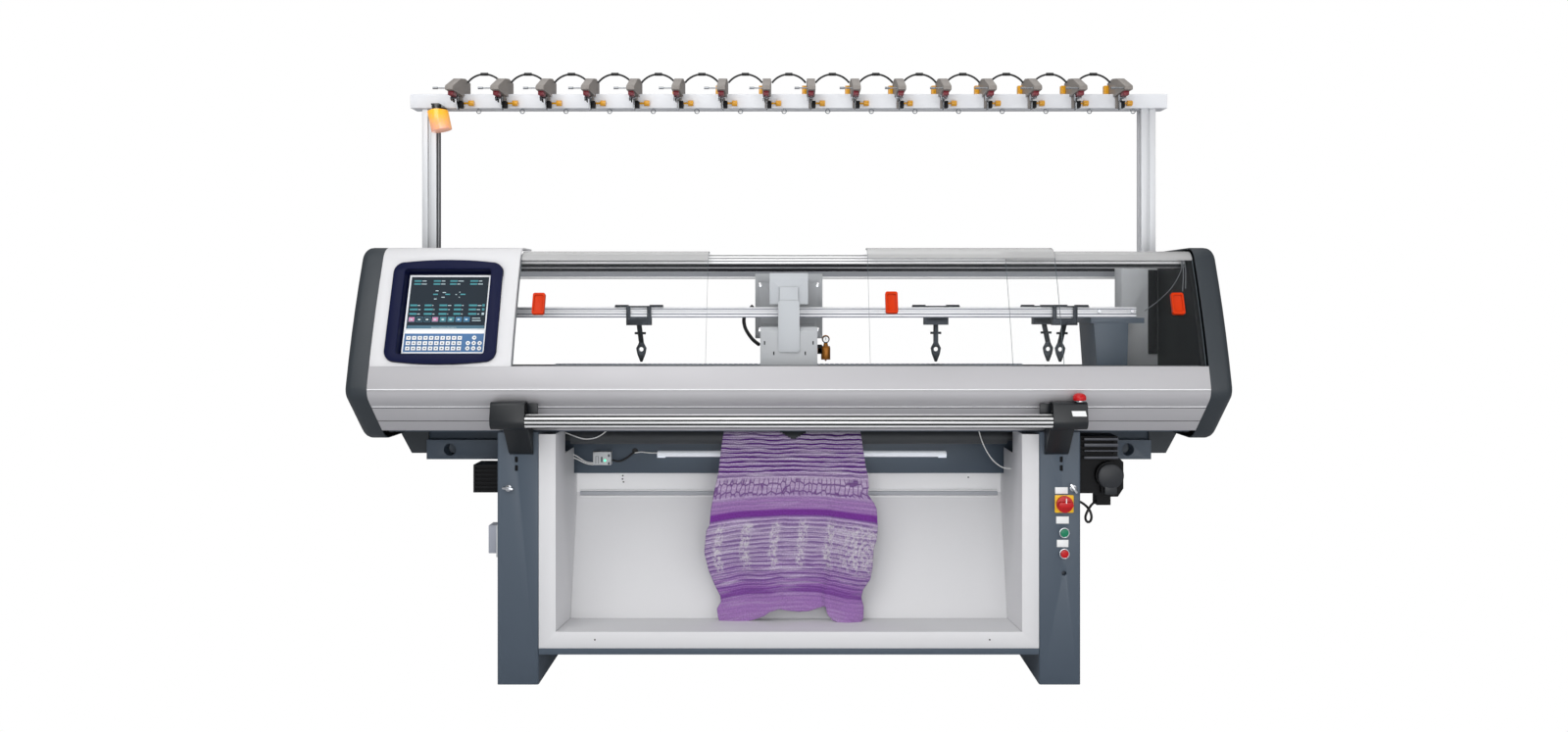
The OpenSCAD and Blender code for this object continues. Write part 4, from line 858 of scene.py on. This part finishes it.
discFittings = {  # slot, finish, radius, height and sides, and the spots
    "lamp_box_led": ("green_plastic", ledGreen, (3.2, 1.5, 20), [(-554, -46, 585)]),
    "beam_grommet": ("cable_rubber", None, (9, 2.5, 20), [(-467, -20, 610)]),
    "tray_screws": ("motor_black", None, (2.4, 0.8, 20), [
        (-507, 0, 532), (-508, 0, 522), (-505, 0, 513), (548, 0, 527), (-539, -298, 124), (558, -298, 124)]),
    "rail_screws": ("chrome_trim", None, (6, 3, 20), [
        (side * x, -166, 1036) for side in (-1, 1) for x in (900, 996)]),
    "motor_disc": ("motor_black", motorCap, (36, 3, 48), [(922, -205, 562)]),
}
for name, (slotName, material, sizes, spots) in discFittings.items():
    repeatPart(name, discPart(*sizes), spots, slotName, material)
print("stage: small fittings,", len(boxFittings) + len(discFittings))

tensionSetup = {  # one red sensor block and a pair of black clamps under each tension unit
    "count": 16, "first": -997.5, "pitch": 133.0,
    "tension_sensors": ("red_plastic", maroon, [((-9, -112, 1674), (7, -80, 1686), 1.0)]),
    "tension_clamps": ("motor_black", None, [((-6, -74, 1660), (-3.5, -62, 1686), 0.4),
                                             ((3.5, -50, 1648), (14, -28, 1668), 1.0)]),
}
spots = [(tensionSetup["first"] + i * tensionSetup["pitch"], 0, 0) for i in range(tensionSetup["count"])]
for name in ("tension_sensors", "tension_clamps"):
    slotName, material, boxes = tensionSetup[name]
    bm = bmesh.new()
    for box in boxes:
        addBox(bm, *box)
    repeatPart(name, finishMesh(bm), spots, slotName, material)
print("stage: tension fittings")

apronSetup = {  # painted highlight and shade: a bright bead above a dark gap at both grooves, and a bright bead on the nose
    "half": 1133, "grooves": [(-360, 775), (-315, 735)], "nose": (-396.4, 826.4), "slope": (-0.752, 0.659),
    "normal": (-0.659, -0.752), "beadUp": 3.8, "beadRadius": 1.9, "gapIn": 0.9, "gapRadius": 1.8,
    "noseRadius": 1.5,
}


def addLine(bm, y, z, radius):
    addRod(bm, (-apronSetup["half"], y, z), (apronSetup["half"], y, z), radius, None, 10)


highlightBeads, shadeGaps = bmesh.new(), bmesh.new()
for y, z in apronSetup["grooves"]:
    (upY, upZ), (outY, outZ) = apronSetup["slope"], apronSetup["normal"]
    rise, sink = apronSetup["beadUp"], apronSetup["gapIn"]
    addLine(highlightBeads, y + upY * rise, z + upZ * rise, apronSetup["beadRadius"])
    addLine(shadeGaps, y - outY * sink, z - outZ * sink, apronSetup["gapRadius"])
addLine(highlightBeads, *apronSetup["nose"], apronSetup["noseRadius"])
# bright beads are painted highlights; the dark rods are painted shade in the grooves
placePiece("apron_beads", finishMesh(highlightBeads), "bar_paint", beadHighlightPaint)
placePiece("apron_gaps", finishMesh(shadeGaps), "black_plate")
print("stage: apron lines")

domeSetup = {  # mushroom button: a thick hollow dome on a stem
    "x": 777, "y": -412, "steps": 40,
    "outline": [(0, 819), (7, 818.2), (12.5, 815.8), (16.4, 811.6), (17.6, 807.5), (17.6, 803), (16.2, 799.6),
                (13.4, 799.6), (13.4, 804.5), (5.6, 804.5), (5.6, 792), (0, 792)],
}
bm = bmesh.new()
ring = [bm.verts.new((r * mm, 0, z * mm)) for r, z in domeSetup["outline"]]
bmesh.ops.spin(bm, geom=[bm.edges.new(pair) for pair in zip(ring, ring[1:])], cent=(0, 0, 0), axis=(0, 0, 1),
               angle=2 * math.pi, steps=domeSetup["steps"])
bmesh.ops.remove_doubles(bm, verts=bm.verts, dist=0.01 * mm)
bmesh.ops.translate(bm, verts=bm.verts, vec=Vector((domeSetup["x"], domeSetup["y"], 0)) * mm)
placePiece("estop_dome", finishMesh(bm), "red_plastic", None, bodyOf["estop_button"], ("estop_button",))

underSetup = {  # dark brackets under both ends of the apron
    "outline": [(-1186, 703), (-1186, 664), (-1152, 601), (-1100.5, 601), (-1100.5, 703)],
    "y": 2, "depth": 36,
}
bm = bmesh.new()
for side in (1, -1):
    addSlab(bm, [(side * x, underSetup["y"], z) for x, z in underSetup["outline"]], underSetup["depth"])
placePiece("under_brackets", finishMesh(bm), "charcoal_plastic")

bpy.context.view_layer.update()  # the rays below need every piece in place
plateSetup = {"corners": ((755, 758), (792, 758), (789, 772), (752, 772)), "lift": 0.7, "depth": 1.0}
bm = bmesh.new()
addSlab(bm, [onFront("right_bracket_finish", x, z, plateSetup["lift"]) for x, z in plateSetup["corners"]],
        plateSetup["depth"])
placePiece("bracket_plate", finishMesh(bm), "box_plastic", plateWhite)
boxPiece("switch_pointer", [((762.7, -327, 507), (765.3, -325.9, 521))], "red_plastic", plateWhite, 0.3,
         bodyOf["switch_knob"])
print("stage: button, brackets and plates")

carriageSetup = {  # screws and slots on the carriage's face, and an oiler with a white dial
    "screws": ((-88, 1113), (88, 1113), (-90, 975), (88, 975), (-66, 830), (66, 830)),
    "slots": ((-68, 948), (68, 948), (-42, 919), (46, 919)), "oiler": (104, -250),
    "bowl": [(903, 914, 5, 12, 8), (914, 938, 12, 12, 8), (938, 948, 7, 5, 16), (896, 904, 2.4, 2.4, 16)],
    "rim": ((104, -243, 957), (104, -261, 957), 10.5, 10.5, 28),
    "case": ((80, -258, 916), (94, -242, 942), 1.5), "dial": (104, -260.8, 957),
    "needle": ((103.4, -262.6, 955), (104.4, -261.8, 963)),
}
screwSpots = [onFront("carriage_body_finish", x, z) for x, z in carriageSetup["screws"]]
repeatPart("carriage_screws", discPart(4.2, 2), screwSpots, "chrome_trim", None, "carriage")
slotSpots = [onFront("carriage_body_finish", x, z) for x, z in carriageSetup["slots"]]
boxPiece("carriage_slots", [((x - 1.7, y - 0.6, z - 5), (x + 1.7, y + 3, z + 5)) for x, y, z in slotSpots],
         "motor_black", finishes["black_plate"], 0.0, "carriage")
bm = bmesh.new()
for low, high, radius, radiusEnd, sides in carriageSetup["bowl"]:
    addRod(bm, (*carriageSetup["oiler"], low), (*carriageSetup["oiler"], high), radius, radiusEnd, sides)
placePiece("oiler_bowl", finishMesh(bm), "oiler_brass", None, "carriage", ("carriage_oiler",))
bm = bmesh.new()
addRod(bm, *carriageSetup["rim"])
addBox(bm, *carriageSetup["case"])
placePiece("oiler_case", finishMesh(bm), "motor_black", None, "carriage")
repeatPart("oiler_dial", discPart(8, 1.2, 28), [carriageSetup["dial"]], "box_plastic", plateWhite, "carriage")
boxPiece("oiler_needle", [carriageSetup["needle"]], "motor_black", finishes["black_plate"], 0.0, "carriage")
print("stage: carriage fittings")

cameraSetup = {  # at the photograph's place, level, with the lens worked out from the legs and the bar
    "place": (0.0, -3.295, 1.060), "sensor": 36, "lens": 24.77, "shiftX": -0.0031, "shiftY": -0.0403,
}
camera = bpy.data.objects.new("camera", bpy.data.cameras.new("camera"))
scene.collection.objects.link(camera)
camera.location = cameraSetup["place"]
camera.rotation_euler = (math.radians(90), 0, 0)
camera.data.sensor_width = cameraSetup["sensor"]
camera.data.lens = cameraSetup["lens"]
camera.data.shift_x = cameraSetup["shiftX"]
camera.data.shift_y = cameraSetup["shiftY"]
scene.camera = camera

lightSetup = [
    {"name": "keyLight", "place": (-1.6, -3.4, 3.6), "aim": (0, 0, 0.9), "size": 3.0, "power": 84},
    {"name": "fillLight", "place": (2.6, -3.0, 1.6), "aim": (0.2, 0, 0.8), "size": 2.2, "power": 20},
    {"name": "frontLight", "place": (0.3, -4.4, 0.55), "aim": (0, 0, 0.6), "size": 3.0, "power": 76},
    {"name": "topLight", "place": (0, 0.2, 4.0), "aim": (0, 0, 0.8), "size": 4.0, "power": 48},
]
for setup in lightSetup:
    light = bpy.data.lights.new(setup["name"], "AREA")
    light.size = setup["size"]
    light.energy = setup["power"]
    lamp = bpy.data.objects.new(setup["name"], light)
    scene.collection.objects.link(lamp)
    lamp.location = setup["place"]
    lamp.rotation_euler = (Vector(setup["aim"]) - Vector(setup["place"])).to_track_quat("-Z", "Y").to_euler()


def cameraOnly(tree, others, seen):
    rays = addNode(tree, "ShaderNodeLightPath").outputs["Is Camera Ray"]
    return addNode(tree, "ShaderNodeMixShader", links={0: rays, 1: others, 2: seen}).outputs[0]


worldSetup = {"room": "#ebebec", "strength": 0.4, "back": "#ffffff"}
world = bpy.data.worlds.new("studio")
scene.world = world
world.use_nodes = True
tree = world.node_tree
tree.nodes.clear()
room, back = (addNode(tree, "ShaderNodeBackground", {
    "Color": hexColor(worldSetup[key]), "Strength": strength}).outputs[0]
    for key, strength in (("room", worldSetup["strength"]), ("back", 1.0)))
addNode(tree, "ShaderNodeOutputWorld", links={"Surface": cameraOnly(tree, room, back)})

floorSetup = {"half": 30.0, "drop": 0.5, "color": "#cccdd0", "pale": "#d3d4d7"}
bm = bmesh.new()
bmesh.ops.create_grid(bm, x_segments=1, y_segments=1, size=floorSetup["half"])
floor = bpy.data.objects.new("floor", meshFrom(bm))
scene.collection.objects.link(floor)
floor.location = (0, 0, -floorSetup["drop"] * mm)
material, tree, shader, place = startMaterial("studioFloor", {"Roughness": 0.9})  # matt, white to the camera
tone, pale = hexColor(floorSetup["color"]), hexColor(floorSetup["pale"])
feed(tree, shader, {"Base Color": mixColor(tree, noiseNode(tree, place, 1.5), pale, tone)})
paper = addNode(tree, "ShaderNodeEmission", {"Color": (1, 1, 1, 1), "Strength": 1.0}).outputs[0]
feed(tree, tree.nodes["Material Output"], {"Surface": cameraOnly(tree, shader.outputs["BSDF"], paper)})
floor.data.materials.append(material)
floor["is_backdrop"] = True
scene.view_settings.view_transform = "Standard"
print("stage: camera, light and floor")

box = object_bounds()
